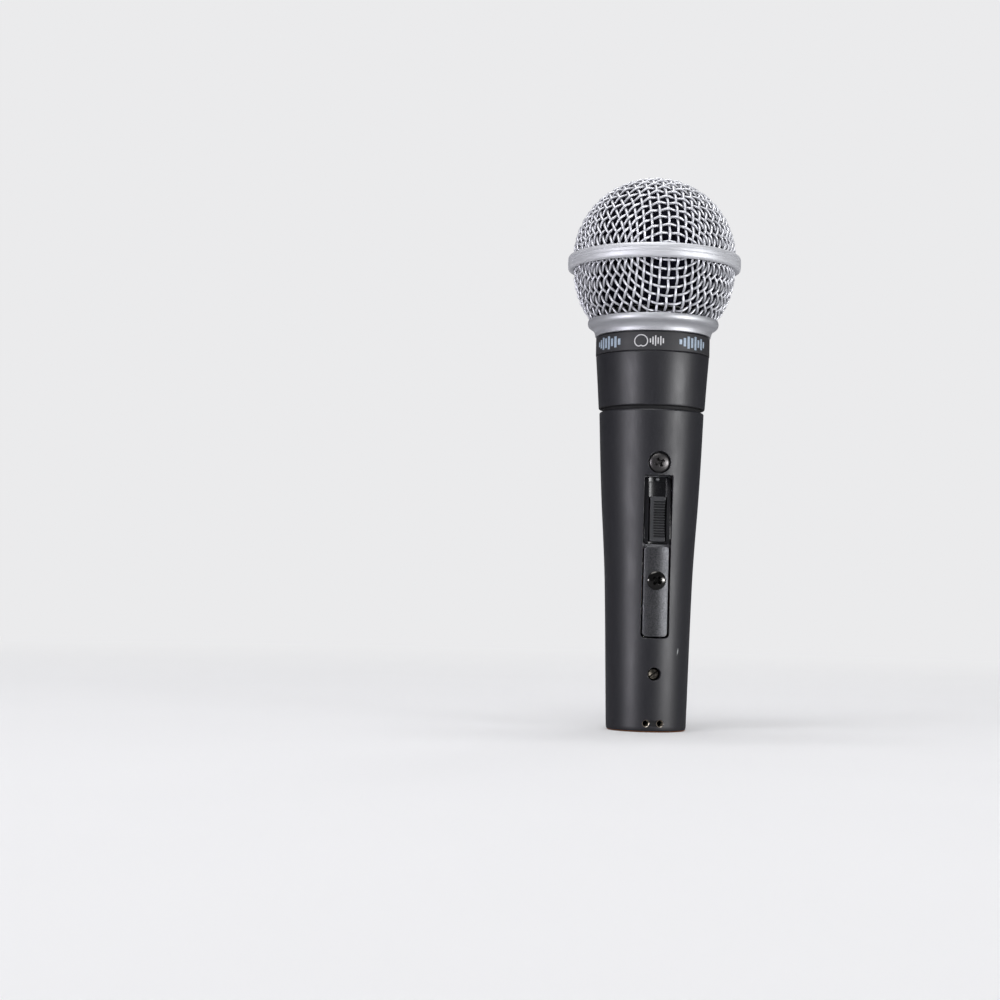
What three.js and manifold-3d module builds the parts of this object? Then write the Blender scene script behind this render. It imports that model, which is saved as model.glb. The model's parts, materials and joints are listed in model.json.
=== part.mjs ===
// A handheld vocal microphone: moving-coil capsule on a rubber shock mount, screw-on ball grille with a foam
// windscreen, tapered die-cast handle with an on/off slide switch, output transformer and 3-pin connector.
// Millimetres. The long axis is +Z, from the connector end at z = 0 to the top of the ball. The switch faces -Y.
import * as THREE from "three";
import { mergeVertices } from "three/addons/utils/BufferGeometryUtils.js";
import Module from "manifold-3d";

const wasm = await Module();
wasm.setup();

// ---------------------------------------------------------------- driving dimensions

// Ball grille
const BALL_TOP_Z = 162;
const DOME_R = 24;
const DOME_CENTRE_Z = BALL_TOP_Z - DOME_R;
const BOWL_R = 23.8;
const BOWL_CENTRE_Z = 134.5;
const BOWL_BOTTOM_Z = 119.1;
const MESH_THICKNESS = 1.4;
const BAND_Z = 136.5;
const BAND_R = 25.4;
const BAND_HEIGHT = 4.1;
const COLLAR_BOTTOM_Z = 114.8;
const COLLAR_TOP_Z = 119.6;
const COLLAR_LEDGE_Z = 119;
const COLLAR_BORE_R = 15.4;

// Foam windscreen inside the ball
const FOAM_R = 22;
const FOAM_THICKNESS = 3;
const FOAM_BOTTOM_Z = 122;
const FOAM_LOW_CENTRE_Z = 135.1;

// Handle: [z, outer radius] from the connector end to the joint with the head
const HANDLE_OUTER = [
  [0, 10.6],
  [0.35, 11.2],
  [1.2, 11.62],
  [12, 11.9],
  [24, 12.2],
  [36, 12.53],
  [46, 12.88],
  [56, 13.45],
  [66, 14.1],
  [78, 14.7],
  [92.1, 15.25],
  [92.4, 15.08],
];
const HANDLE_TOP_Z = 92.4;
const HANDLE_WALL = 2.3;
const SOCKET_R = 8.1;
const SOCKET_END_Z = 25.4;

// Head housing, name band and the plain neck the grille screws over
const HEAD_BOTTOM_Z = 93.4;
const HEAD_TOP_Z = 108.95;
const NECK_R = 15.2;
const NECK_TOP_Z = 121.3;
const NAME_BAND_R = 16.65;
const NAME_BAND_TOP_Z = 114.43;

// Switch, its opening and its cover plate
const SLOT_HALF_WIDTH = 4.1;
const SLOT_BOTTOM_Z = 26.95;
const SLOT_TOP_Z = 73.4;
const PLATE_HALF_WIDTH = 3.65;
const PLATE_BOTTOM_Z = 27.35;
const PLATE_TOP_Z = 53.2;
const PLATE_THICKNESS = 1.25;
const TOP_SCREW_Z = 77.1;
const PLATE_SCREW_Z = 43.4;
const SLIDER_BOTTOM_Z = 54.5;
const SLIDER_TOP_Z = 67.4;
const SLIDER_HALF_WIDTH = 2.2;
const SLIDER_FACE_Y = -12.9;
const SLIDER_RIBS = 13;
const SLIDER_RIB_PITCH = 0.76;

// Connector
const SET_SCREW_Z = 16.7;
const LATCH_SLOT_Z = 2.6;
const PIN_CIRCLE_R = 4;
const PIN_R = 1.19;
const PIN_TIP_Z = 3.2;
const INSERT_FACE_Z = 14.6;

// Transformer
const TRANSFORMER_Y = 1;
const CORE_BOTTOM_Z = 32.7;
const CORE_TOP_Z = 48.7;

// Facets
const ROUND = 40;
const CAPSULE_ROUND = 20;
const SMALL_ROUND = 12;
const DOME_STEPS = 6;

const LOOKS = {
  enamel: { color: 0x3b3b3f, roughness: 0.45, metalness: 0.5 },
  bandGrey: { color: 0x4b4b4d, roughness: 0.7, metalness: 0.1 },
  satinSilver: { color: 0xc9cbce, roughness: 0.35, metalness: 0.9 },
  wireSilver: { color: 0xb9bbc0, roughness: 0.4, metalness: 0.8 },
  foam: { color: 0x0d0d12, roughness: 1, metalness: 0 },
  blackPlastic: { color: 0x131315, roughness: 0.35, metalness: 0 },
  sliderPlastic: { color: 0x2a2b2d, roughness: 0.6, metalness: 0 },
  plateMetal: { color: 0x55565a, roughness: 0.35, metalness: 0.7 },
  darkSteel: { color: 0x3a3839, roughness: 0.35, metalness: 0.8 },
  blackScrew: { color: 0x0b0b0c, roughness: 0.2, metalness: 0.6 },
  plainSteel: { color: 0x9a9b9d, roughness: 0.4, metalness: 0.9 },
  contactSilver: { color: 0xd0d1cf, roughness: 0.25, metalness: 1 },
  brass: { color: 0xb8923f, roughness: 0.35, metalness: 1 },
  copper: { color: 0xa8562c, roughness: 0.4, metalness: 1 },
  insulator: { color: 0x1e3a2c, roughness: 0.5, metalness: 0 },
  greyPlastic: { color: 0x6c6e70, roughness: 0.55, metalness: 0 },
  aluminium: { color: 0xa9abad, roughness: 0.4, metalness: 0.8 },
  rubber: { color: 0x1b1b1b, roughness: 0.9, metalness: 0 },
  cloth: { color: 0x9a9484, roughness: 1, metalness: 0 },
  felt: { color: 0xc7c2b5, roughness: 1, metalness: 0 },
  film: { color: 0xcfd6d8, roughness: 0.2, metalness: 0 },
  magnet: { color: 0x55555a, roughness: 0.5, metalness: 0.7 },
  board: { color: 0x8a5a2b, roughness: 0.6, metalness: 0 },
  redWire: { color: 0x9c1f1c, roughness: 0.5, metalness: 0 },
  blackWire: { color: 0x151515, roughness: 0.5, metalness: 0 },
  yellowWire: { color: 0xb89a2a, roughness: 0.5, metalness: 0 },
};

// ---------------------------------------------------------------- geometry helpers

// The outer radius of the handle at a height.
function handleRadius(z) {
  for (let i = 1; i < HANDLE_OUTER.length; i++) {
    const [z0, r0] = HANDLE_OUTER[i - 1];
    const [z1, r1] = HANDLE_OUTER[i];
    if (z <= z1) return r0 + ((r1 - r0) * (z - z0)) / (z1 - z0);
  }
  return HANDLE_OUTER[HANDLE_OUTER.length - 1][1];
}

// Turns a [radius, z] profile round the Z axis. The profile runs up the outside and down the inside.
function turned(profile, segments = ROUND) {
  const points = profile.map(([r, z]) => new THREE.Vector2(r, z));
  const first = points[0];
  const last = points[points.length - 1];
  if (first.x > 0 || last.x > 0) points.push(first.clone());
  return new THREE.LatheGeometry(points, segments).rotateX(Math.PI / 2);
}

// A plain cylinder about the Z axis.
function rod(radius, z0, z1, segments = SMALL_ROUND) {
  return turned([[0, z0], [radius, z0], [radius, z1], [0, z1]], segments);
}

// A plain tube about the Z axis.
function ring(outer, inner, z0, z1, segments = ROUND) {
  return turned([[outer, z0], [outer, z1], [inner, z1], [inner, z0]], segments);
}

function box([x0, x1], [y0, y1], [z0, z1]) {
  const geometry = new THREE.BoxGeometry(x1 - x0, y1 - y0, z1 - z0);
  return geometry.translate((x0 + x1) / 2, (y0 + y1) / 2, (z0 + z1) / 2);
}

// Stands a piece turned about Z so that its axis points out of the switch side, with its origin at depth y.
function facingFront(geometry, y, z, x = 0) {
  return geometry.rotateX(Math.PI / 2).translate(x, y, z);
}

// A round hole or rod along Y.
function frontRod(radius, y0, y1, z, x = 0, segments = SMALL_ROUND) {
  return facingFront(rod(radius, -y1, -y0, segments), 0, z, x);
}

// A rectangle in the X-Z plane with its own corner radius at the bottom and at the top.
function rectangle(halfWidth, z0, z1, bottomRadius, topRadius) {
  const shape = new THREE.Shape();
  shape.moveTo(-halfWidth + bottomRadius, z0);
  shape.lineTo(halfWidth - bottomRadius, z0);
  if (bottomRadius) shape.quadraticCurveTo(halfWidth, z0, halfWidth, z0 + bottomRadius);
  shape.lineTo(halfWidth, z1 - topRadius);
  if (topRadius) shape.quadraticCurveTo(halfWidth, z1, halfWidth - topRadius, z1);
  shape.lineTo(-halfWidth + topRadius, z1);
  if (topRadius) shape.quadraticCurveTo(-halfWidth, z1, -halfWidth, z1 - topRadius);
  shape.lineTo(-halfWidth, z0 + bottomRadius);
  if (bottomRadius) shape.quadraticCurveTo(-halfWidth, z0, -halfWidth + bottomRadius, z0);
  return shape;
}

// A prism of an X-Z shape, from y0 to y1.
function frontPrism(shape, y0, y1) {
  const options = { depth: y1 - y0, bevelEnabled: false, curveSegments: 3 };
  return new THREE.ExtrudeGeometry(shape, options).rotateX(Math.PI / 2).translate(0, y1, 0);
}

// An insulated lead that follows a smooth line through the given points.
function lead(points, radius = 0.4) {
  const path = new THREE.CatmullRomCurve3(points.map((p) => new THREE.Vector3(...p)));
  const circle = new THREE.Shape().absarc(0, 0, radius, 0, 2 * Math.PI);
  const options = {
    steps: 3 * (points.length - 1),
    curveSegments: 3,
    bevelEnabled: false,
    extrudePath: path,
  };
  return new THREE.ExtrudeGeometry(circle, options);
}

// A spherical arc as [radius, z] points between two polar angles, measured from the top.
function arc(radius, centreZ, fromDegrees, toDegrees, steps = DOME_STEPS) {
  const points = [];
  for (let i = 0; i <= steps; i++) {
    const angle = THREE.MathUtils.degToRad(fromDegrees + ((toDegrees - fromDegrees) * i) / steps);
    const r = Math.abs(angle) < 1e-9 ? 0 : radius * Math.sin(angle);
    points.push([r, centreZ + radius * Math.cos(angle)]);
  }
  return points;
}

// The polar angle from the top at which a sphere is at a height.
function polarAngle(radius, centreZ, z) {
  return THREE.MathUtils.radToDeg(Math.acos((z - centreZ) / radius));
}

// A geometry as a closed solid, facing out.
function solid(geometry) {
  const bare = geometry.index ? geometry.toNonIndexed() : geometry.clone();
  bare.deleteAttribute("normal");
  bare.deleteAttribute("uv");
  const merged = mergeVertices(bare, 1e-4);
  const corners = merged.index.array;
  const faces = [];
  for (let i = 0; i < corners.length; i += 3) {
    const [a, b, c] = corners.slice(i, i + 3);
    if (a !== b && b !== c && c !== a) faces.push(a, b, c);
  }
  const vertProperties = merged.attributes.position.array;
  const make = (triVerts) => new wasm.Manifold(new wasm.Mesh({ numProp: 3, vertProperties, triVerts }));
  const made = make(new Uint32Array(faces));
  return made.volume() > 0 ? made : make(new Uint32Array(faces).reverse());
}

function join(...geometries) {
  return geometries.map(solid).reduce((whole, piece) => whole.add(piece));
}

function cut(whole, ...geometries) {
  return geometries.map(solid).reduce((rest, piece) => rest.subtract(piece), whole);
}

const microphone = new THREE.Group();
microphone.name = "microphone";

function addNode(name, body, look) {
  const mesh = body.getMesh();
  const geometry = new THREE.BufferGeometry();
  geometry.setAttribute("position", new THREE.BufferAttribute(new Float32Array(mesh.vertProperties), 3));
  geometry.setIndex(new THREE.BufferAttribute(new Uint32Array(mesh.triVerts), 1));
  geometry.computeVertexNormals();
  const node = new THREE.Mesh(geometry, new THREE.MeshStandardMaterial(LOOKS[look]));
  node.name = name;
  microphone.add(node);
}

// ---------------------------------------------------------------- handle

const handleProfile = [
  ...HANDLE_OUTER.map(([z, r]) => [r, z]),
  [13.1, HANDLE_TOP_Z],
  [13.1, 84.6],
  [12.6, 84.2],
  [handleRadius(66) - HANDLE_WALL, 66],
  [handleRadius(46) - HANDLE_WALL, 46],
  [handleRadius(28) - HANDLE_WALL, 28],
  [SOCKET_R, SOCKET_END_Z],
  [SOCKET_R, 0.5],
  [SOCKET_R + 0.45, 0],
];
// The latch holes go right through, and a shallow groove joins them.
const LATCH_END_X = 2.05;
const LATCH_GROOVE_Y = -11.05;
const handleShell = cut(
  solid(turned(handleProfile)),
  frontPrism(rectangle(SLOT_HALF_WIDTH, SLOT_BOTTOM_Z, SLOT_TOP_Z, 1.4, 0), -20, -5),
  frontRod(3.2, -20, -13.3, TOP_SCREW_Z, 0, 20),
  frontRod(1.7, -20, -5, TOP_SCREW_Z),
  frontRod(1.87, -20, -6, SET_SCREW_Z),
  frontRod(1.05, -20, -6, LATCH_SLOT_Z, -LATCH_END_X, 10),
  frontRod(1.05, -20, -6, LATCH_SLOT_Z, LATCH_END_X, 10),
  box([-LATCH_END_X, LATCH_END_X], [-20, LATCH_GROOVE_Y], [LATCH_SLOT_Z - 0.8, LATCH_SLOT_Z + 0.8]),
);
addNode("handle_shell", handleShell, "enamel");

// ---------------------------------------------------------------- head

const headHousing = solid(
  turned([
    [12.95, 85.4],
    [12.95, HANDLE_TOP_Z + 0.15],
    [14.3, HANDLE_TOP_Z + 0.15],
    [14.3, HEAD_BOTTOM_Z],
    [15.3, HEAD_BOTTOM_Z],
    [15.5, HEAD_BOTTOM_Z + 0.2],
    [16.05, 101.4],
    [16.55, HEAD_TOP_Z - 0.2],
    [16.35, HEAD_TOP_Z],
    [15.75, HEAD_TOP_Z],
    [15.75, NAME_BAND_TOP_Z - 0.08],
    [NECK_R, NAME_BAND_TOP_Z - 0.08],
    [NECK_R, 121],
    [14.9, NECK_TOP_Z],
    [13.4, NECK_TOP_Z],
    [13.4, 97.6],
    [11.4, 96.4],
    [11.4, 85.4],
  ]),
);
addNode("head_housing", headHousing, "enamel");

const nameBand = solid(
  turned([
    [NAME_BAND_R - 0.15, HEAD_TOP_Z + 0.12],
    [NAME_BAND_R, HEAD_TOP_Z + 0.3],
    [NAME_BAND_R, NAME_BAND_TOP_Z - 0.18],
    [NAME_BAND_R - 0.15, NAME_BAND_TOP_Z],
    [15.9, NAME_BAND_TOP_Z],
    [15.9, HEAD_TOP_Z + 0.12],
  ]),
);
addNode("name_band", nameBand, "bandGrey");

// ---------------------------------------------------------------- shock mount

const shockMount = solid(
  turned(
    [
      [13.2, 103.4],
      [13.2, 112],
      [12.5, 112],
      [12.4, 107.6],
      [11.75, 108.2],
      [11.7, 115],
      [11, 115],
      [11, 106.4],
      [12.3, 105.6],
      [12.4, 103.4],
    ],
    CAPSULE_ROUND,
  ),
);
addNode("shock_mount", shockMount, "rubber");
addNode("mount_ring", solid(ring(13.2, 12.55, 112.3, 114.4, CAPSULE_ROUND)), "aluminium");

// ---------------------------------------------------------------- capsule

const rearChamber = solid(
  turned(
    [
      [0, 97],
      [10, 97],
      [10.8, 97.8],
      [10.8, 122],
      [9.9, 122],
      [9.9, 98],
      [0, 98],
    ],
    CAPSULE_ROUND,
  ),
);
addNode("rear_chamber", rearChamber, "aluminium");
addNode("damping_felt", solid(ring(9.6, 3, 119, 121.6, CAPSULE_ROUND)), "felt");
addNode("terminal_board", solid(rod(8.4, 95.6, 96.8, CAPSULE_ROUND)), "board");
addNode("terminal_lug_hot", solid(box([2.75, 3.25], [-0.9, 0.9], [91.8, 95.4])), "brass");
addNode("terminal_lug_cold", solid(box([-3.25, -2.75], [-0.9, 0.9], [91.8, 95.4])), "brass");

// The housing's side ports let sound reach the back of the diaphragm, which makes the pickup directional.
const PORTS = 8;
const ports = [];
for (let i = 0; i < PORTS; i++) {
  ports.push(box([-1.7, 1.7], [-16, -10], [127, 130.5]).rotateZ((2 * Math.PI * (i + 0.5)) / PORTS));
}
const capsuleHousing = cut(
  solid(
    turned(
      [
        [14, 122.4],
        [14, 139],
        [13.2, 139],
        [13.2, 136.5],
        [12.7, 136.5],
        [12.7, 124.2],
        [8, 124.2],
        [8, 122.4],
      ],
      CAPSULE_ROUND,
    ),
  ),
  ...ports,
);
addNode("capsule_housing", capsuleHousing, "blackPlastic");
addNode("side_port_cloth", solid(ring(12.45, 12.1, 125.4, 132.2, CAPSULE_ROUND)), "cloth");

const magnetCup = solid(
  turned(
    [
      [2, 124.5],
      [11.4, 124.5],
      [11.4, 134],
      [10.6, 134],
      [10.6, 126],
      [2, 126],
    ],
    CAPSULE_ROUND,
  ),
);
addNode("magnet_cup", magnetCup, "plainSteel");
addNode("magnet", solid(rod(6, 126.2, 132, CAPSULE_ROUND)), "magnet");
addNode("pole_piece", solid(rod(6.7, 132.2, 134.4, CAPSULE_ROUND)), "plainSteel");
addNode("top_plate", solid(ring(10.45, 7.8, 132.2, 134, CAPSULE_ROUND)), "plainSteel");
addNode("voice_coil", solid(ring(7.45, 7, 131.9, 136.3, CAPSULE_ROUND)), "copper");

const DIAPHRAGM_THICKNESS = 0.2;
const diaphragmUnderside = [
  [13, 136.8],
  [12.2, 136.8],
  [11, 137.3],
  [9.6, 137],
  [7.6, 136.5],
  [6, 137.1],
  [3, 137.9],
  [0, 138.2],
];
const diaphragmTop = diaphragmUnderside.map(([r, z]) => [r, z + DIAPHRAGM_THICKNESS]).reverse();
const diaphragmProfile = [...diaphragmUnderside.slice().reverse(), ...diaphragmTop.slice().reverse()];
addNode("diaphragm", solid(turned(diaphragmProfile, CAPSULE_ROUND)), "film");

addNode("front_cloth", solid(rod(12.3, 139.6, 139.9, CAPSULE_ROUND)), "cloth");
const capHoles = [rod(1.2, 138, 146, 8)];
for (let i = 0; i < 6; i++) {
  const angle = (Math.PI * i) / 3;
  capHoles.push(rod(1.2, 138, 146, 8).translate(5.6 * Math.cos(angle), 5.6 * Math.sin(angle), 0));
}
const resonatorCap = cut(
  solid(
    turned(
      [
        [14, 139.15],
        [14, 141.6],
        [12.6, 143.2],
        [9, 144],
        [0, 144.2],
        [0, 143.2],
        [8.8, 143],
        [12.2, 141.2],
        [12.6, 139.15],
      ].reverse(),
      CAPSULE_ROUND,
    ),
  ),
  ...capHoles,
);
addNode("resonator_cap", resonatorCap, "greyPlastic");

// ---------------------------------------------------------------- windscreen and grille

const foamInnerR = FOAM_R - FOAM_THICKNESS;
const foamEnd = polarAngle(FOAM_R, FOAM_LOW_CENTRE_Z, FOAM_BOTTOM_Z);
const foamInnerEnd = polarAngle(foamInnerR, FOAM_LOW_CENTRE_Z, FOAM_BOTTOM_Z + 2.6);
const foamOutside = [
  ...arc(FOAM_R, FOAM_LOW_CENTRE_Z, foamEnd, 90, 4),
  ...arc(FOAM_R, DOME_CENTRE_Z, 90, 0, 6),
];
const foamInside = [
  ...arc(foamInnerR, DOME_CENTRE_Z, 0, 90, 5),
  ...arc(foamInnerR, FOAM_LOW_CENTRE_Z, 90, foamInnerEnd, 3),
  [15.6, FOAM_BOTTOM_Z + 0.6],
  [15.9, FOAM_BOTTOM_Z],
];
const foam = solid(turned([...foamOutside, ...foamInside], 24));
addNode("foam_windscreen", foam, "foam");

const dome = solid(
  turned([
    [DOME_R - MESH_THICKNESS, BAND_Z + 0.1],
    [DOME_R, BAND_Z + 0.1],
    ...arc(DOME_R, DOME_CENTRE_Z, 90, 0),
    ...arc(DOME_R - MESH_THICKNESS, DOME_CENTRE_Z, 0, 90),
  ], 32),
);
addNode("grille_dome_mesh", dome, "wireSilver");

const bowlInnerR = BOWL_R - MESH_THICKNESS;
const bowl = solid(
  turned([
    [18.6, BOWL_BOTTOM_Z],
    [18.6, COLLAR_TOP_Z + 0.15],
    ...arc(BOWL_R, BOWL_CENTRE_Z, polarAngle(BOWL_R, BOWL_CENTRE_Z, COLLAR_TOP_Z + 0.2), 90, 5),
    [BOWL_R, BAND_Z - 0.1],
    [bowlInnerR, BAND_Z - 0.1],
    ...arc(bowlInnerR, BOWL_CENTRE_Z, 90, polarAngle(bowlInnerR, BOWL_CENTRE_Z, BOWL_BOTTOM_Z), 5),
  ], 32),
);
addNode("grille_bowl_mesh", bowl, "wireSilver");

const bandLow = BAND_Z - BAND_HEIGHT / 2;
const bandHigh = BAND_Z + BAND_HEIGHT / 2;
const band = solid(
  turned([
    [24.2, bandLow],
    [24.9, bandLow],
    [BAND_R - 0.12, bandLow + 0.35],
    [BAND_R, bandLow + 1],
    [BAND_R, bandHigh - 1],
    [BAND_R - 0.12, bandHigh - 0.35],
    [24.9, bandHigh],
    [24.2, bandHigh],
  ]),
);
addNode("grille_band", band, "satinSilver");

const collar = solid(
  turned([
    [COLLAR_BORE_R + 0.25, COLLAR_BOTTOM_Z],
    [16.9, COLLAR_BOTTOM_Z],
    [17, COLLAR_BOTTOM_Z + 0.5],
    [17.12, 115.9],
    [17.4, 116.5],
    [17.85, 117],
    [18.5, 117.35],
    [18.95, 117.75],
    [19.15, 118.3],
    [19.15, 118.9],
    [18.97, COLLAR_TOP_Z],
    [18.82, COLLAR_TOP_Z],
    [18.82, COLLAR_LEDGE_Z],
    [16.1, COLLAR_LEDGE_Z],
    [16.1, COLLAR_TOP_Z + 0.3],
    [COLLAR_BORE_R, COLLAR_TOP_Z + 0.3],
    [COLLAR_BORE_R, COLLAR_BOTTOM_Z + 0.25],
  ]),
);
addNode("grille_collar", collar, "satinSilver");

// ---------------------------------------------------------------- switch

// The bezel is a shallow valley with a pocket the slider runs in and a narrow slot for the slider's stem.
// A small nub stands in the valley above the slider.
const BEZEL_BOTTOM_Z = 53.8;
const BEZEL_TOP_Z = 73.1;
const bezelValley = cut(
  solid(frontPrism(rectangle(3.85, BEZEL_BOTTOM_Z, BEZEL_TOP_Z, 0.4, 0.4), -12.4, -10.1)),
  rod(6, 50, 80, 28).translate(0, -17.6, 0),
  frontPrism(rectangle(2.5, BEZEL_BOTTOM_Z + 0.35, 71.7, 0.3, 0.3), -14, -10.8),
  box([-1.4, 1.4], [-14, -9], [58.9, 66.9]),
);
const bezel = bezelValley.add(solid(frontRod(0.5, -12.1, -10.9, 72.4, 0, 10)));
addNode("switch_bezel", bezel, "blackPlastic");

// The slider is dished along its length, and ribs cross the dish.
const sliderMiddleZ = (SLIDER_BOTTOM_Z + SLIDER_TOP_Z) / 2;
const DISH_DEPTH = 0.7;
const DISH_R = 22;
const dishCentreY = SLIDER_FACE_Y + DISH_DEPTH - DISH_R;
const dish = rod(DISH_R, -1.8, 1.8, 96).rotateY(Math.PI / 2).translate(0, dishCentreY, sliderMiddleZ);
const sliderRibs = [];
for (let i = 0; i < SLIDER_RIBS; i++) {
  const offset = (i - (SLIDER_RIBS - 1) / 2) * SLIDER_RIB_PITCH;
  const floorY = dishCentreY + Math.sqrt(DISH_R * DISH_R - offset * offset);
  const ribZ = sliderMiddleZ + offset;
  sliderRibs.push(box([-1.85, 1.85], [floorY - 0.22, floorY + 0.3], [ribZ - 0.17, ribZ + 0.17]));
}
const sliderOutline = rectangle(SLIDER_HALF_WIDTH, SLIDER_BOTTOM_Z, SLIDER_TOP_Z, 0.5, 0.5);
const sliderCap = cut(solid(frontPrism(sliderOutline, SLIDER_FACE_Y, -11)), dish);
const slider = [box([-1.2, 1.2], [-11.2, -8.6], [59.1, 62.6]), ...sliderRibs]
  .map(solid)
  .reduce((whole, piece) => whole.add(piece), sliderCap);
addNode("switch_slider", slider, "sliderPlastic");

const carriage = cut(
  solid(box([-2.8, 2.8], [-9.1, -7], [57.1, 64.6])),
  box([-1.4, 1.4], [-10, -8.3], [58.9, 62.8]),
);
addNode("switch_carriage", carriage, "board");
const bridge = join(
  box([-2.2, 2.2], [-6.8, -6.5], [56.9, 64.8]),
  box([-2.2, 2.2], [-6.8, -6.1], [56.9, 57.5]),
  box([-2.2, 2.2], [-6.8, -6.1], [64.2, 64.8]),
);
addNode("switch_bridge", bridge, "brass");

// The metal can holds the switch, and an ear at each end takes a screw.
const switchCan = cut(
  join(
    box([-4.2, 4.2], [-9.9, -4.6], [52.5, 74.3]),
    box([-3, 3], [-11.5, -9.5], [73.9, 74.3]),
    box([-3, 3], [-11.5, -10.6], [73.9, 81.1]),
    box([-3, 3], [-10.6, -9.7], [37.6, 53.5]),
  ),
  box([-3.7, 3.7], [-9.4, -4], [53, 73.8]),
  box([-1.4, 1.4], [-12, -8], [58.8, 67]),
  frontRod(1.45, -13, -8, TOP_SCREW_Z),
  frontRod(1.45, -13, -8, PLATE_SCREW_Z),
);
addNode("switch_case", switchCan, "plainSteel");

const TERMINAL_ZS = [56.3, 63.3, 70.3];
const switchBase = cut(
  solid(box([-3.55, 3.55], [-5.5, -4.7], [53.15, 73.65])),
  ...TERMINAL_ZS.map((z) => box([-0.95, 0.95], [-7, -3], [z - 0.5, z + 0.5])),
);
addNode("switch_base", switchBase, "board");
TERMINAL_ZS.forEach((z, i) => {
  addNode(`switch_terminal_${i + 1}`, solid(box([-0.75, 0.75], [-5.9, -2.2], [z - 0.3, z + 0.3])), "brass");
});

// The cover plate is a strip of the handle's own skin.
const plateSteps = [PLATE_BOTTOM_Z - 1, 36, 46, PLATE_TOP_Z + 1];
const plateSkin = turned(
  [
    ...plateSteps.map((z) => [handleRadius(z) - 0.05, z]),
    ...plateSteps.slice().reverse().map((z) => [handleRadius(z) - 0.05 - PLATE_THICKNESS, z]),
  ],
  120,
);
const plateOutline = frontPrism(rectangle(PLATE_HALF_WIDTH, PLATE_BOTTOM_Z, PLATE_TOP_Z, 1.2, 1.2), -20, -5);
const plate = cut(
  solid(plateSkin).intersect(solid(plateOutline)),
  frontRod(2.85, -20, -12.35, PLATE_SCREW_Z, 0, 20),
  frontRod(1.6, -20, -5, PLATE_SCREW_Z),
);
addNode("switch_plate", plate, "plateMetal");

// A cross-recessed screw with a domed head, its head's underside at depth y.
function crossScrew(headR, headHeight, shankR, shankLength, y, z) {
  const screw = turned(
    [
      [0, -shankLength],
      [shankR, -shankLength],
      [shankR, 0],
      [headR, 0],
      [headR, headHeight * 0.4],
      [headR * 0.8, headHeight * 0.76],
      [headR * 0.42, headHeight * 0.96],
      [0, headHeight],
    ],
    20,
  );
  const across = box([-1.25, 1.25], [-0.3, 0.3], [headHeight - 0.95, headHeight + 1]);
  const along = box([-0.3, 0.3], [-1.25, 1.25], [headHeight - 0.95, headHeight + 1]);
  return cut(
    solid(facingFront(screw, y, z)),
    facingFront(across, y, z),
    facingFront(along, y, z),
  );
}
addNode("switch_top_screw", crossScrew(2.85, 1.35, 1.2, 4.9, -13.45, TOP_SCREW_Z), "darkSteel");
addNode("switch_plate_screw", crossScrew(2.7, 1.3, 1.2, 4, -12.5, PLATE_SCREW_Z), "blackScrew");

// ---------------------------------------------------------------- connector

// Contacts 1 and 2 stand beside the latch, and contact 3 is opposite it.
const PINS = [-60, 60, 180].map((degrees) => {
  const angle = THREE.MathUtils.degToRad(degrees);
  return [PIN_CIRCLE_R * Math.sin(angle), -PIN_CIRCLE_R * Math.cos(angle)];
});
const insert = cut(
  solid(
    turned([
      [0, INSERT_FACE_Z],
      [7.7, INSERT_FACE_Z],
      [7.95, INSERT_FACE_Z + 0.25],
      [7.95, 25.2],
      [0, 25.2],
    ]),
  ),
  frontRod(1.9, -12, -5.8, SET_SCREW_Z),
  ...PINS.map(([x, y]) => rod(PIN_R + 0.15, 10, 30, 12).translate(x, y, 0)),
);
addNode("xlr_insert", insert, "insulator");
PINS.forEach(([x, y], i) => {
  const pin = turned(
    [
      [0, PIN_TIP_Z],
      [0.6, PIN_TIP_Z + 0.15],
      [PIN_R, PIN_TIP_Z + 0.9],
      [PIN_R, 25.6],
      [1.3, 25.6],
      [1.3, 29.5],
      [0, 29.5],
    ],
    12,
  );
  addNode(`xlr_pin_${i + 1}`, solid(pin.translate(x, y, 0)), "contactSilver");
});
const groundContact = join(
  box([-7.2, -5.05], [-3, -1], [25.45, 25.85]),
  box([-7.2, -6.8], [-3, -1], [25.45, 29]),
);
addNode("xlr_ground_contact", groundContact, "contactSilver");
const setScrew = cut(
  solid(frontRod(1.65, -10.9, -6.2, SET_SCREW_Z)),
  box([-2, 2], [-12, -10.2], [SET_SCREW_Z - 0.22, SET_SCREW_Z + 0.22]),
);
addNode("connector_set_screw", setScrew, "darkSteel");

// ---------------------------------------------------------------- transformer

const WINDOW_LOW_Z = CORE_BOTTOM_Z + 2.8;
const WINDOW_HIGH_Z = CORE_TOP_Z - 2.8;
const core = cut(
  solid(box([-6.4, 6.4], [TRANSFORMER_Y - 2.6, TRANSFORMER_Y + 2.6], [CORE_BOTTOM_Z, CORE_TOP_Z])),
  box([2, 4.7], [-9, 9], [WINDOW_LOW_Z, WINDOW_HIGH_Z]),
  box([-4.7, -2], [-9, 9], [WINDOW_LOW_Z, WINDOW_HIGH_Z]),
);
addNode("transformer_core", core, "plainSteel");

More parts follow.
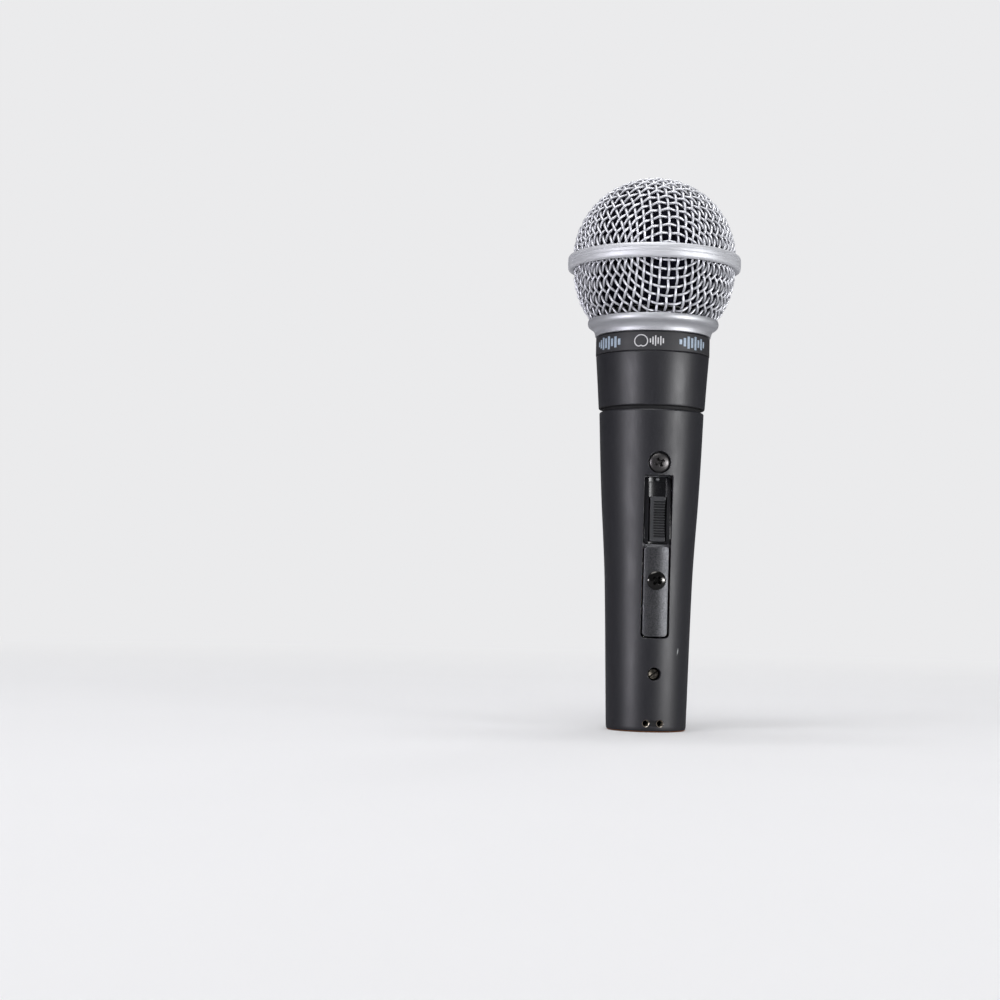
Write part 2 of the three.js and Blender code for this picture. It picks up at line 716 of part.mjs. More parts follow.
// A rectangular ring round the core's middle leg, outer half sizes minus inner half sizes.
function legRing(halfX, halfY, innerX, innerY, z0, z1) {
  return cut(
    solid(box([-halfX, halfX], [TRANSFORMER_Y - halfY, TRANSFORMER_Y + halfY], [z0, z1])),
    box([-innerX, innerX], [TRANSFORMER_Y - innerY, TRANSFORMER_Y + innerY], [z0 - 1, z1 + 1]),
  );
}
const bobbin = [
  legRing(4.5, 5, 2.15, 2.8, WINDOW_LOW_Z + 0.2, WINDOW_LOW_Z + 0.8),
  legRing(4.5, 5, 2.15, 2.8, WINDOW_HIGH_Z - 0.8, WINDOW_HIGH_Z - 0.2),
  legRing(2.55, 3.2, 2.15, 2.8, WINDOW_LOW_Z + 0.2, WINDOW_HIGH_Z - 0.2),
].reduce((whole, piece) => whole.add(piece));
addNode("transformer_bobbin", bobbin, "blackPlastic");
const winding = legRing(4.3, 4.8, 2.65, 3.3, WINDOW_LOW_Z + 0.9, WINDOW_HIGH_Z - 0.9);
addNode("transformer_coil", winding, "copper");
const transformerMount = cut(
  solid(box([-8.6, 8.6], [TRANSFORMER_Y - 3.6, TRANSFORMER_Y + 3.6], [31.4, 33.6])),
  box([-6.6, 6.6], [TRANSFORMER_Y - 2.8, TRANSFORMER_Y + 2.8], [32.5, 34]),
);
addNode("transformer_mount", transformerMount, "rubber");

// ---------------------------------------------------------------- leads

// Each lead: its look, then the points it runs through.
const LEADS = {
  capsule_lead_hot: [
    "redWire",
    [[3.9, 0, 93], [5, 1.6, 86], [7, 3.2, 72], [8.2, 2.2, 57], [7.6, 1, 46]],
  ],
  capsule_lead_cold: [
    "blackWire",
    [[-3.9, 0, 93], [-5, 1.6, 86], [-7, 3.2, 72], [-8.2, 2.2, 57], [-7.6, 1, 46]],
  ],
  output_lead_2: [
    "redWire",
    [[2.5, -4.6, 37], [3.2, -5.2, 33], [3.46, -3.4, 31], [3.46, -2, 30.2]],
  ],
  output_lead_3: [
    "blackWire",
    [[1.5, 6.6, 37], [1.2, 7, 33], [0.4, 5.8, 31], [0, 4.2, 30.2]],
  ],
  switch_lead_a: [
    "yellowWire",
    [[0, -1.6, 56.1], [3.5, -1.4, 52.6], [7.8, -2.6, 47], [8, -4.2, 39], [6.4, -5, 33], [5.5, -2.4, 30]],
  ],
  switch_lead_b: [
    "yellowWire",
    [[0, -1.6, 70.1], [-3, 2.4, 65], [-5.2, 5.6, 54], [-5, 7.2, 44], [-3, 7.6, 35], [-2, 4.4, 30]],
  ],
};
for (const [name, [look, points]] of Object.entries(LEADS)) {
  addNode(name, solid(lead(points)), look);
}

export default microphone;
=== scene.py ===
"""Looks for the handheld vocal microphone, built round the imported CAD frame.

The frame is in metres, with +Z along the microphone and the switch facing -Y. Shapes here are written in
millimetres and scaled by MM.
"""
import json
import math

import bmesh
import bpy
import numpy as np
from mathutils import Matrix, Vector, noise


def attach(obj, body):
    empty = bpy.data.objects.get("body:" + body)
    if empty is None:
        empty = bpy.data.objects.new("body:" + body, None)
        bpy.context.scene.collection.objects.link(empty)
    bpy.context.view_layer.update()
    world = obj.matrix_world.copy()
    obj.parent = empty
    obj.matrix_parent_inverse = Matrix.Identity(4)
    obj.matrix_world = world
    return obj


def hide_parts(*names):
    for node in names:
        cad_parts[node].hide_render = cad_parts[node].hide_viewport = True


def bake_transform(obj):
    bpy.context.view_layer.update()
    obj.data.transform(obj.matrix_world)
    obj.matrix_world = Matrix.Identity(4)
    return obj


MM = 0.001
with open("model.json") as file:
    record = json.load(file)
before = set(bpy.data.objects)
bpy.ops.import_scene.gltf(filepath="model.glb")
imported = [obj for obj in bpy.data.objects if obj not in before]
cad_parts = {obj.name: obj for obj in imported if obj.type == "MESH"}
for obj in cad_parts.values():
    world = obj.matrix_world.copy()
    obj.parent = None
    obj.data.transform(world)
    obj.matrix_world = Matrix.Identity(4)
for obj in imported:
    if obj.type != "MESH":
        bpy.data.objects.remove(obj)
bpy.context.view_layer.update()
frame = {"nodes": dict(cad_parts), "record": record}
nodes = frame["nodes"]

# ---------------------------------------------------------------- dimensions, mm

DOME_R = 24.0
DOME_CENTRE_Z = 138.0
BOWL_R = 23.8
BOWL_CENTRE_Z = 134.5
WIRE_R = 0.355
WIRE_PITCH = 2.54
BAND_Z = 136.5
BAND_HALF = 2.05
FOAM_R = 22.0
FOAM_WALL = 3.0
FOAM_LOW_CENTRE_Z = 135.1
FOAM_BOTTOM_Z = 122.0

# The handle's outside, as heights and radii.
HANDLE = [
    (1.2, 11.62), (12, 11.9), (24, 12.2), (36, 12.53), (46, 12.88),
    (56, 13.45), (66, 14.1), (78, 14.7), (92.1, 15.25),
]
HANDLE_WALL = 2.3
SOCKET_R = 8.1

SLOT_HALF = 4.1
SLOT_Z = (26.95, 73.4)
TOP_SCREW_Z = 77.1
PLATE_SCREW_Z = 43.4
SET_SCREW_Z = 16.7
LATCH_Z = 2.6
LATCH_X = 2.05
LATCH_HOLE_R = 0.85
LATCH_MOUTH_R = 1.13
PLATE_HALF = 3.65
PLATE_Z = (27.35, 53.2)
SLIDER_Z = (54.5, 67.4)
SLIDER_HALF = 2.2
NAME_BAND_R = 16.65
NAME_BAND_Z = (109.07, 114.43)

THREAD_PITCH = 0.94
THREAD_R = 15.18
THREAD_START_Z = 115.0
THREAD_TURNS = 4
THREAD_RIDGE_R = 0.17

# The chip in the enamel: its centre, then a direction and a size along it, across it and through the wall.
CHIP = (
    (7.08, -9.92, 23.2),
    ((0.16, 0.12, 0.98), 1.9),
    ((0.79, 0.58, -0.2), 0.45),
    ((0.58, -0.81, 0.0), 4.0),
)


# ---------------------------------------------------------------- mesh helpers

def handle_radius(z):
    """The handle's outer radius at a height, as a smooth curve through HANDLE."""
    zs, rs = zip(*HANDLE)
    z = min(max(z, zs[0]), zs[-1])
    i = max(k for k in range(len(zs) - 1) if zs[k] <= z)
    slopes = [(rs[k + 1] - rs[k]) / (zs[k + 1] - zs[k]) for k in range(len(zs) - 1)]
    start = slopes[0] if i == 0 else (slopes[i - 1] + slopes[i]) / 2
    end = slopes[i] if i == len(slopes) - 1 else (slopes[i] + slopes[i + 1]) / 2
    h = zs[i + 1] - zs[i]
    t = (z - zs[i]) / h
    return (
        (2 * t**3 - 3 * t**2 + 1) * rs[i]
        + (t**3 - 2 * t**2 + t) * h * start
        + (3 * t**2 - 2 * t**3) * rs[i + 1]
        + (t**3 - t**2) * h * end
    )


def handle_slope(z, step=0.2):
    """How fast the handle's radius grows with height."""
    return (handle_radius(z + step) - handle_radius(z - step)) / (2 * step)


def handle_front(x, z):
    """The y of the handle's front surface at x, z."""
    return -math.sqrt(handle_radius(z) ** 2 - x * x)


def on_circle(radius, angle, z):
    """A point round the axis at a height, its angle in radians from the switch side towards +X."""
    return radius * math.sin(angle), -radius * math.cos(angle), z


def add_object(name, data):
    """A new object in the scene."""
    obj = bpy.data.objects.new(name, data)
    bpy.context.scene.collection.objects.link(obj)
    return obj


def make_object(name, vertices, faces, sharp=35):
    """A mesh object from millimetre vertices, smooth except across edges sharper than the angle."""
    mesh = bpy.data.meshes.new(name)
    mesh.from_pydata((np.asarray(vertices, float) * MM).tolist(), [], faces)
    mesh.validate()
    for polygon in mesh.polygons:
        polygon.use_smooth = True
    mesh.set_sharp_from_angle(angle=math.radians(sharp))
    return add_object(name, mesh)


def clean(obj, distance=1e-6):
    """Welds coincident vertices and drops faces that have no area."""
    work = bmesh.new()
    work.from_mesh(obj.data)
    bmesh.ops.remove_doubles(work, verts=work.verts, dist=distance)
    bmesh.ops.dissolve_degenerate(work, dist=distance, edges=work.edges)
    work.to_mesh(obj.data)
    work.free()


def rounded(profile, radius, steps=4):
    """A closed [r, z] profile with its corners rounded. radius is one number, or one per point."""
    points = [np.array(p, float) for p in profile]
    radii = [radius] * len(points) if np.isscalar(radius) else radius
    out = []
    for i, point in enumerate(points):
        before = points[i - 1] - point
        after = points[(i + 1) % len(points)] - point
        reach = min(radii[i], 0.45 * np.linalg.norm(before), 0.45 * np.linalg.norm(after))
        if reach < 1e-6 or point[0] == 0:
            out.append(point)
            continue
        a = point + before / np.linalg.norm(before) * reach
        b = point + after / np.linalg.norm(after) * reach
        for k in range(steps + 1):
            t = k / steps
            out.append((1 - t) ** 2 * a + 2 * t * (1 - t) * point + t * t * b)
    return out


def upright_arc(radius, centre_z, start, end, steps):
    """Points of a circle round the axis, from one angle off the top to another in degrees."""
    angles = [math.radians(degrees) for degrees in np.linspace(start, end, steps)]
    return [(radius * math.sin(a), centre_z + radius * math.cos(a)) for a in angles]


def lathe(name, profile, segments=160, sharp=35):
    """Turns a [r, z] profile round Z. It runs up the outside and down the inside."""
    closed = profile[0][0] > 0 or profile[-1][0] > 0
    count = len(profile)
    vertices = []
    for s in range(segments):
        vertices += [on_circle(r, 2 * math.pi * s / segments, z) for r, z in profile]
    faces = []
    for s in range(segments):
        a, b = s * count, (s + 1) % segments * count
        for k in range(count if closed else count - 1):
            n = (k + 1) % count
            faces.append((a + k, b + k, b + n, a + n))
    obj = make_object(name, vertices, faces, sharp)
    if not closed:
        clean(obj)
    return obj


def face_front(obj, y, z):
    """Lays a turned piece along -Y, with its own zero height at a place on the switch side."""
    obj.data.transform(Matrix.Translation((0, y * MM, z * MM)) @ Matrix.Rotation(math.pi / 2, 4, "X"))


def outline_rectangle(half, z0, z1, low, high, steps=8):
    """A rectangle's outline in x, z, anticlockwise seen from the front.

    low and high are the radii of its lower and upper corners.
    """
    corners = [(half, z0, low, -90), (half, z1, high, 0), (-half, z1, high, 90), (-half, z0, low, 180)]
    points = []
    for x, z, r, start in corners:
        cx, cz = x - math.copysign(r, x), z + r if z == z0 else z - r
        for k in range(steps + 1):
            a = math.radians(start + 90 * k / steps)
            points.append((cx + r * math.cos(a), cz + r * math.sin(a)))
    return points


def outline_circle(x, z, r, steps):
    """A circle's outline, anticlockwise."""
    angles = [2 * math.pi * k / steps for k in range(steps)]
    return [(x + r * math.cos(a), z + r * math.sin(a)) for a in angles]


def outward(points):
    """The outward unit normal at each point of an anticlockwise outline."""
    p = np.array(points)
    out = []
    for i in range(len(p)):
        ahead, back = p[(i + 1) % len(p)] - p[i], p[i] - p[i - 1]
        t = ahead / max(np.linalg.norm(ahead), 1e-9) + back / max(np.linalg.norm(back), 1e-9)
        t = t / max(np.linalg.norm(t), 1e-9)
        out.append((t[1], -t[0]))
    return np.array(out)


def bridged(count, levels):
    """The faces of a closed form whose vertices are loops of count points, one level after another."""
    last = (levels - 1) * count
    faces = [tuple(range(count)), tuple(reversed(range(last, last + count)))]
    for a in range(0, last, count):
        b = a + count
        for k in range(count):
            n = (k + 1) % count
            faces.append((a + n, a + k, b + k, b + n))
    return faces


# How far a cutter starts outside the surface, in mm.
CUTTER_PROUD = 1.5


def flared_cutter(points, fillet, inner_y, surface):
    """A cutter along Y for an outline, with a rounded mouth where it leaves a curved surface."""
    p = np.array(points)
    normal = outward(points)
    vertices = [(x, surface(x, z) - CUTTER_PROUD, z) for x, z in p + normal * fillet]
    for degrees in (18, 36, 54, 72, 90):
        angle = math.radians(degrees)
        depth = fillet * (1 - math.cos(angle))
        loop = p + normal * fillet * (1 - math.sin(angle))
        vertices += [(x, surface(x, z) + depth, z) for x, z in loop]
    vertices += [(x, inner_y, z) for x, z in p]
    return vertices, bridged(len(p), len(vertices) // len(p))


def round_cutter(x, z, radius, fillet, inner_y, surface, steps=48):
    """A flared cutter for a round hole. surface may be a single y."""
    front = surface if callable(surface) else lambda across, height: surface
    return flared_cutter(outline_circle(x, z, radius, steps), fillet, inner_y, front)


def block_cutter(xs, ys, zs):
    """A rectangular block between two places along each axis, as a closed cutter."""
    corners = [(xs[i], zs[k]) for i, k in ((0, 0), (1, 0), (1, 1), (0, 1))]
    return [(x, y, z) for y in ys for x, z in corners], bridged(4, 2)


def upright_cutter(x, y, r, z0, z1, steps=32):
    """An upright round cutter."""
    ring = outline_circle(x, y, r, steps)
    return [(px, py, z) for z in (z0, z1) for px, py in ring], bridged(steps, 2)


def merged(parts):
    """One vertex list and one face list from several."""
    vertices, faces = [], []
    for v, f in parts:
        base = len(vertices)
        vertices += list(v)
        faces += [tuple(i + base for i in face) for face in f]
    return vertices, faces


def turn_outwards(obj):
    """Turns the faces of closed pieces so that they all look outwards."""
    work = bmesh.new()
    work.from_mesh(obj.data)
    bmesh.ops.recalc_face_normals(work, faces=work.faces)
    work.to_mesh(obj.data)
    work.free()


def cut(obj, *cutters):
    """Cuts closed pieces out of a mesh object, and leaves the result in its mesh."""
    vertices, faces = merged(cutters)
    cutter = make_object(obj.name + "_cutter", vertices, faces)
    turn_outwards(cutter)
    modifier = obj.modifiers.new("cut", "BOOLEAN")
    modifier.operation = "DIFFERENCE"
    modifier.solver = "EXACT"
    modifier.object = cutter
    result = bpy.data.meshes.new_from_object(obj.evaluated_get(bpy.context.evaluated_depsgraph_get()))
    obj.modifiers.clear()
    obj.data = result
    bpy.data.objects.remove(cutter)
    for polygon in obj.data.polygons:
        polygon.use_smooth = True


# A face lies on an ideal surface when their normals are this close.
ON_SURFACE_DEGREES = 14


def set_normals(obj, ideal=lambda p: None, crease=40):
    """Gives faces that lie on an ideal surface its exact normals, so cuts leave no shading marks on it.

    Other corners average the face normals round their vertex that turn by less than the crease angle.
    """
    mesh = obj.data
    face_normals = np.array([p.normal for p in mesh.polygons])
    around = [[] for _ in mesh.vertices]
    on_surface = []
    nearest = math.cos(math.radians(ON_SURFACE_DEGREES))
    for polygon in mesh.polygons:
        target = ideal(polygon.center / MM)
        on_surface.append(target is not None and polygon.normal.dot(target) > nearest)
        for v in polygon.vertices:
            around[v].append(polygon.index)
    normals = []
    limit = math.cos(math.radians(crease))
    areas = [p.area for p in mesh.polygons]
    for polygon in mesh.polygons:
        own = face_normals[polygon.index]
        for v in polygon.vertices:
            target = ideal(mesh.vertices[v].co / MM) if on_surface[polygon.index] else None
            if target is not None:
                normals.append(tuple(target))
                continue
            total = own * areas[polygon.index]
            for other in around[v]:
                if other != polygon.index and not on_surface[other] and face_normals[other] @ own > limit:
                    total = total + face_normals[other] * areas[other]
            length = np.linalg.norm(total)
            normals.append(tuple(total / length) if length > 0 else tuple(own))
    mesh.normals_split_custom_set(normals)


def dress(obj, body, slot, *replaced, material=None):
    """Puts a finished piece on its body, in place of the CAD nodes it stands for.

    Its material is the slot's own unless another is given.
    """
    obj.data.materials.clear()
    obj.data.materials.append(material or MATERIALS[slot])
    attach(obj, body)
    if replaced:
        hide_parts(*replaced)


def paint_faces(obj, material, chosen):
    """Gives a second material to the faces whose centre, in mm, is chosen."""
    obj.data.materials.append(material)
    index = len(obj.data.materials) - 1
    for polygon in obj.data.polygons:
        if chosen(polygon.center / MM):
            polygon.material_index = index


# ---------------------------------------------------------------- materials

def add_node(tree, kind, settings=None, **inputs):
    """A shader node. Settings are its attributes, and inputs are values or sockets to link.

    An input is given by its name with _ for a space, or as i and its number.
    """
    made = tree.nodes.new(kind)
    for key, value in (settings or {}).items():
        setattr(made, key, value)
    for key, value in inputs.items():
        numbered = key[0] == "i" and key[1:].isdigit()
        socket = made.inputs[int(key[1:]) if numbered else key.replace("_", " ")]
        if isinstance(value, bpy.types.NodeSocket):
            tree.links.new(value, socket)
        else:
            socket.default_value = value
    return made


def new_material(name, colour, metallic, roughness, **extra):
    """A material with its node tree and its shader."""
    material = bpy.data.materials.new(name)
    material.use_nodes = True
    tree = material.node_tree
    shader = tree.nodes["Principled BSDF"]
    shader.inputs["Base Color"].default_value = (*colour, 1)
    shader.inputs["Metallic"].default_value = metallic
    shader.inputs["Roughness"].default_value = roughness
    for key, value in extra.items():
        shader.inputs[key.replace("_", " ")].default_value = value
    return material, tree, shader


def feed(shader, **values):
    """Links values to a shader's inputs, which are named with _ for a space."""
    for key, value in values.items():
        shader.id_data.links.new(value, shader.inputs[key.replace("_", " ")])


def coordinates(tree, scale=None):
    """Object coordinates in metres, stretched where a scale is given."""
    where = add_node(tree, "ShaderNodeTexCoord").outputs["Object"]
    if scale is None:
        return where
    return add_node(tree, "ShaderNodeMapping", Vector=where, Scale=scale).outputs["Vector"]


def grain(tree, scale, detail=3.0, roughness=0.55, vector=None):
    """Noise whose features are about 1/scale metres across, as a 0 to 1 value."""
    if vector is None:
        vector = coordinates(tree)
    made = add_node(
        tree, "ShaderNodeTexNoise", Vector=vector, Scale=scale, Detail=detail, Roughness=roughness
    )
    return made.outputs["Fac"]


def spread(tree, value, low, high, start=0.3, end=0.7):
    """Maps a value from start..end to low..high."""
    made = add_node(tree, "ShaderNodeMapRange", i0=value, i1=start, i2=end, i3=low, i4=high)
    return made.outputs[0]


def mix(tree, factor, a, b):
    """Mixes two colours."""
    a, b = (value if isinstance(value, bpy.types.NodeSocket) else (*value, 1) for value in (a, b))
    return add_node(tree, "ShaderNodeMix", {"data_type": "RGBA"}, i0=factor, i6=a, i7=b).outputs[2]


def maths(tree, operation, a, b=0.0, clamp=False):
    """One arithmetic step on values."""
    made = add_node(tree, "ShaderNodeMath", {"operation": operation, "use_clamp": clamp}, i0=a, i1=b)
    return made.outputs[0]


def dot_product(tree, a, b):
    """The dot product of two vectors."""
    made = add_node(tree, "ShaderNodeVectorMath", {"operation": "DOT_PRODUCT"}, i0=a, i1=b)
    return made.outputs["Value"]


def softened(tree, radius):
    """The surface normal, rounded over edges within a radius."""
    return add_node(tree, "ShaderNodeBevel", {"samples": 4}, Radius=radius).outputs[0]


def edge_wear(tree, radius):
    """1 where an edge is within the radius, and the softened normal that rounds it."""
    soft = softened(tree, radius)
    flat = add_node(tree, "ShaderNodeNewGeometry").outputs["Normal"]
    return spread(tree, dot_product(tree, soft, flat), 1, 0, 0.9, 0.995), soft


def bump(tree, shader, height, strength, distance, normal=None):
    """Gives a shader a relief over a normal. The distance is the relief's full height in metres."""
    made = add_node(tree, "ShaderNodeBump", Height=height, Strength=strength, Distance=distance)
    if normal is not None:
        feed(made, Normal=normal)
    feed(shader, Normal=made.outputs["Normal"])


def chip(tree, centre, *axes):
    """1 inside a small worn mark round a place in mm, and 0 outside. Each axis is a direction and a width."""
    middle = tuple(c * MM for c in centre)
    offset = add_node(
        tree, "ShaderNodeVectorMath", {"operation": "SUBTRACT"}, i0=coordinates(tree), i1=middle
    ).outputs["Vector"]
    size = 0.0
    for direction, reach in axes:
        part = maths(tree, "DIVIDE", dot_product(tree, offset, direction), reach * MM / 2)
        size = maths(tree, "ADD", maths(tree, "MULTIPLY", part, part), size)
    ragged = maths(tree, "ADD", size, spread(tree, grain(tree, 4000, 2), -0.5, 0.5))
    return spread(tree, ragged, 1, 0, 0.6, 1.1)


def enamel(name, dark, light, roughness):
    """Satin enamel over cast metal: fine orange peel, faint flake, and rubbed edges."""
    material, tree, shader = new_material(name, dark, 0.0, 0.38, Specular_IOR_Level=0.6)
    flake = grain(tree, 5200, 2)
    cloud = grain(tree, 60, 4)
    colour = mix(tree, spread(tree, flake, 0, 1, 0.35, 0.7), dark, light)
    wear, soft = edge_wear(tree, 0.00022)
    patches = spread(tree, grain(tree, 900, 4, 0.7), 0, 1, 0.5, 0.72)
    rubbed = maths(tree, "MULTIPLY", wear, patches, True)
    worn = mix(tree, rubbed, colour, (0.35, 0.35, 0.36))
    shade = mix(tree, chip(tree, *CHIP), worn, (0.30, 0.31, 0.31))
    scuffs = grain(tree, 420, 6, 0.65, coordinates(tree, (1, 1, 0.25)))
    rough = maths(tree, "ADD", spread(tree, cloud, *roughness), spread(tree, scuffs, -0.03, 0.04))
    feed(shader, Base_Color=shade, Metallic=maths(tree, "MULTIPLY", rubbed, 0.8), Roughness=rough)
    bump(tree, shader, grain(tree, 2600, 3), 0.16, 0.00012, soft)
    return material


def brushed(name, colour, roughness, direction, metallic=1.0, scratch=0.12, edge=0.00012):
    """Metal with fine lines. direction is the axis the lines run along, or "round" for turned rings."""
    material, tree, shader = new_material(name, colour, metallic, roughness)
    if direction == "round":
        x, y, z = add_node(tree, "ShaderNodeSeparateXYZ", Vector=coordinates(tree)).outputs
        square = maths(tree, "ADD", maths(tree, "MULTIPLY", x, x), maths(tree, "MULTIPLY", y, y))
        out = maths(tree, "SQRT", square)
        around = maths(tree, "MULTIPLY", maths(tree, "ARCTAN2", x, y), 0.0006)
        vector = add_node(tree, "ShaderNodeCombineXYZ", X=out, Y=around, Z=z).outputs[0]
    else:
        vector = coordinates(tree, tuple(0.04 if axis == direction else 1 for axis in "XYZ"))
    lines = grain(tree, 9000, 2, 0.6, vector)
    smudge = spread(tree, grain(tree, 150, 4), roughness - 0.05, roughness + 0.06)
    rough = maths(tree, "ADD", smudge, spread(tree, lines, -0.04, 0.05))
    shade = mix(tree, spread(tree, lines, 0, 1), tuple(c * 0.88 for c in colour), colour)
    feed(shader, Base_Color=shade, Roughness=rough)
    bump(tree, shader, lines, scratch, 0.00004, softened(tree, edge))
    return material


def blasted(name, colour, roughness):
    """Dark plated sheet with a fine blasted grain, and edges painted a little brighter, partly as rubbed wear
    and partly as a painted highlight.
    """
    material, tree, shader = new_material(name, colour, 0.75, roughness)
    speckle = grain(tree, 2900, 3, 0.7)
    wear, soft = edge_wear(tree, 0.0003)
    dark, light = (tuple(c * share for c in colour) for share in (0.4, 1.6))
    shade = mix(tree, spread(tree, speckle, 0, 1), dark, light)
    # Painted highlight together with wear: every edge is mixed towards a paler grey.
    rubbed = mix(tree, maths(tree, "MULTIPLY", wear, 0.6), shade, (0.34, 0.35, 0.36))
    uneven = spread(tree, grain(tree, 500, 4), roughness - 0.06, roughness + 0.06)
    feed(shader, Base_Color=rubbed, Roughness=uneven)
    bump(tree, shader, speckle, 0.3, 0.00012, soft)
    return material


def plain(name, colour, metallic, roughness, scale=1500, strength=0.12, depth=0.0001, vary=0.15, **extra):
    """A moulded or soft finish: mottled colour, uneven gloss and a fine texture."""
    material, tree, shader = new_material(name, colour, metallic, roughness, **extra)
    texture = grain(tree, scale, 4)
    shade = mix(tree, spread(tree, texture, 0, 1), tuple(c * (1 - vary) for c in colour), colour)
    uneven = spread(tree, grain(tree, scale / 8, 3), roughness - 0.05, roughness + 0.06)
    feed(shader, Base_Color=shade, Roughness=uneven)
    bump(tree, shader, texture, strength, depth)
    return material


def woven_cloth(name, colour):
    """Fine woven cloth: crossed waves in colour and height."""
    material, tree, shader = new_material(name, colour, 0.0, 0.9, Sheen_Weight=0.3)
    waves = []
    for axis in ("X", "Y"):
        bands = {"bands_direction": axis}
        wave = add_node(
            tree, "ShaderNodeTexWave", bands, Vector=coordinates(tree), Scale=3000, Distortion=0.4
        )
        waves.append(wave.outputs["Fac"])
    cross = maths(tree, "MULTIPLY", *waves)
    feed(shader, Base_Color=mix(tree, cross, tuple(c * 0.6 for c in colour), colour))
    bump(tree, shader, cross, 0.4, 0.0001)
    return material


def wire_material():
    """Bright wire, with painted shade that makes it duller and darker down between the crossings, and faint
    stains.
    """
    material, tree, shader = new_material("wire", (0.82, 0.83, 0.85), 0.65, 0.45)
    # Painted shade: ambient occlusion darkens the wire where it dips between crossings; the noise below adds
    # faint stains.
    hollow = add_node(tree, "ShaderNodeAmbientOcclusion", {"samples": 4}, Distance=0.0011).outputs["AO"]
    stain = spread(tree, grain(tree, 700, 4), 0.75, 1.0)
    factor = maths(tree, "MULTIPLY", spread(tree, hollow, 0.0, 1.0, 0.25, 0.85), stain, True)
    shade = mix(tree, factor, (0.20, 0.20, 0.23), (0.90, 0.91, 0.95))
    feed(shader, Base_Color=shade, Roughness=spread(tree, grain(tree, 1300, 3), 0.38, 0.50))
    bump(tree, shader, grain(tree, 4200, 3), 0.12, 0.00005)
    return material


def foam_material():
    """Open-cell foam: dark cells with slightly paler walls."""
    material, tree, shader = new_material("foam", (0.004, 0.004, 0.010), 0.0, 1.0, Specular_IOR_Level=0.15)
    cells = add_node(
        tree, "ShaderNodeTexVoronoi", {"feature": "DISTANCE_TO_EDGE"}, Vector=coordinates(tree), Scale=1500
    ).outputs["Distance"]
    walls = spread(tree, cells, 1, 0, 0.0, 0.25)
    feed(shader, Base_Color=mix(tree, walls, (0.0010, 0.0010, 0.004), (0.006, 0.006, 0.017)))
    bump(tree, shader, walls, 0.8, 0.0003)
    return material


def mottle(tree, shader, scale, dark, light):
    """Lets a finish drift between two shades, in patches about 1/scale metres across."""
    feed(shader, Base_Color=mix(tree, spread(tree, grain(tree, scale, 4), 0, 1), dark, light))


def ink(name, colour, dark, light):
    """Matt printing ink."""
    material, tree, shader = new_material(name, colour, 0.0, 0.5)
    mottle(tree, shader, 1800, dark, light)
    return material


MATERIALS = {
    "handle_enamel": enamel("handle enamel", (0.0085, 0.0088, 0.0118), (0.0165, 0.0165, 0.021), (0.40, 0.48)),
    "name_band_grey": plain("name band", (0.030, 0.030, 0.033), 0.0, 0.55, 2200, 0.08),
    "grille_wire": wire_material(),
    "grille_ring": brushed("satin silver", (0.70, 0.71, 0.74), 0.5, "round", 0.8, 0.06),
    "foam": foam_material(),
    "black_plastic": plain("black gloss plastic", (0.007, 0.007, 0.0085), 0.0, 0.24, 900, 0.03),
    "slider_plastic": plain(
        "slider plastic", (0.040, 0.041, 0.044), 0.0, 0.32, 2600, 0.08, Specular_IOR_Level=0.7
    ),
    "plate_metal": blasted("blued plate", (0.078, 0.079, 0.084), 0.38),
    "dark_steel": brushed("dark steel", (0.12, 0.115, 0.115), 0.36, "X"),
    "black_screw": brushed("black oxide", (0.07, 0.068, 0.065), 0.12, "X", 1.0, 0.04, 0.0003),
    "plain_steel": brushed("plain steel", (0.58, 0.58, 0.60), 0.32, "Z"),
    "magnet": plain("magnet", (0.10, 0.10, 0.11), 0.6, 0.45, 3000, 0.2),
    "contact_silver": brushed("contact silver", (0.86, 0.85, 0.80), 0.2, "Z", 1.0, 0.05),
    "brass": brushed("brass", (0.72, 0.52, 0.22), 0.28, "Z"),
    "copper_winding": brushed("copper winding", (0.72, 0.30, 0.15), 0.3, "round", 1.0, 0.5),
    "insulator": plain("insulator", (0.012, 0.035, 0.024), 0.0, 0.38, 1800, 0.08),
    "grey_plastic": plain("grey plastic", (0.15, 0.155, 0.16), 0.0, 0.45, 1600, 0.1),
    "aluminium": brushed("aluminium", (0.78, 0.79, 0.80), 0.35, "round"),
    "rubber": plain("rubber", (0.015, 0.015, 0.015), 0.0, 0.75, 1200, 0.2),
    "cloth": woven_cloth("acoustic cloth", (0.34, 0.32, 0.26)),
    "felt": plain("felt", (0.58, 0.55, 0.48), 0.0, 0.95, 2500, 0.9, 0.0004, 0.35, Sheen_Weight=0.5),
    "film": plain("film", (0.75, 0.80, 0.82), 0.0, 0.12, 500, 0.05, Transmission_Weight=0.5),
    "fibre_board": plain("fibre board", (0.25, 0.12, 0.045), 0.0, 0.5, 1900, 0.15),
    "lead_red": plain("red lead", (0.35, 0.02, 0.015), 0.0, 0.35, 1500, 0.05),
    "lead_black": plain("black lead", (0.012, 0.012, 0.012), 0.0, 0.35, 1500, 0.05),
    "lead_yellow": plain("yellow lead", (0.50, 0.36, 0.05), 0.0, 0.35, 1500, 0.05),
}
PEARL_SILVER = brushed("pearl silver", (0.73, 0.74, 0.77), 0.5, "round", 0.5, 0.05)
# Partly painted shade: the set screw's speckled, weathered finish is also darkened to stand in for the shade
# deep in its hole.
WEATHERED_AND_SHADED_STEEL = plain("weathered steel with painted shade", (0.20, 0.18, 0.15), 0.9, 0.36, 2300, 0.35, 0.0002, 0.85)
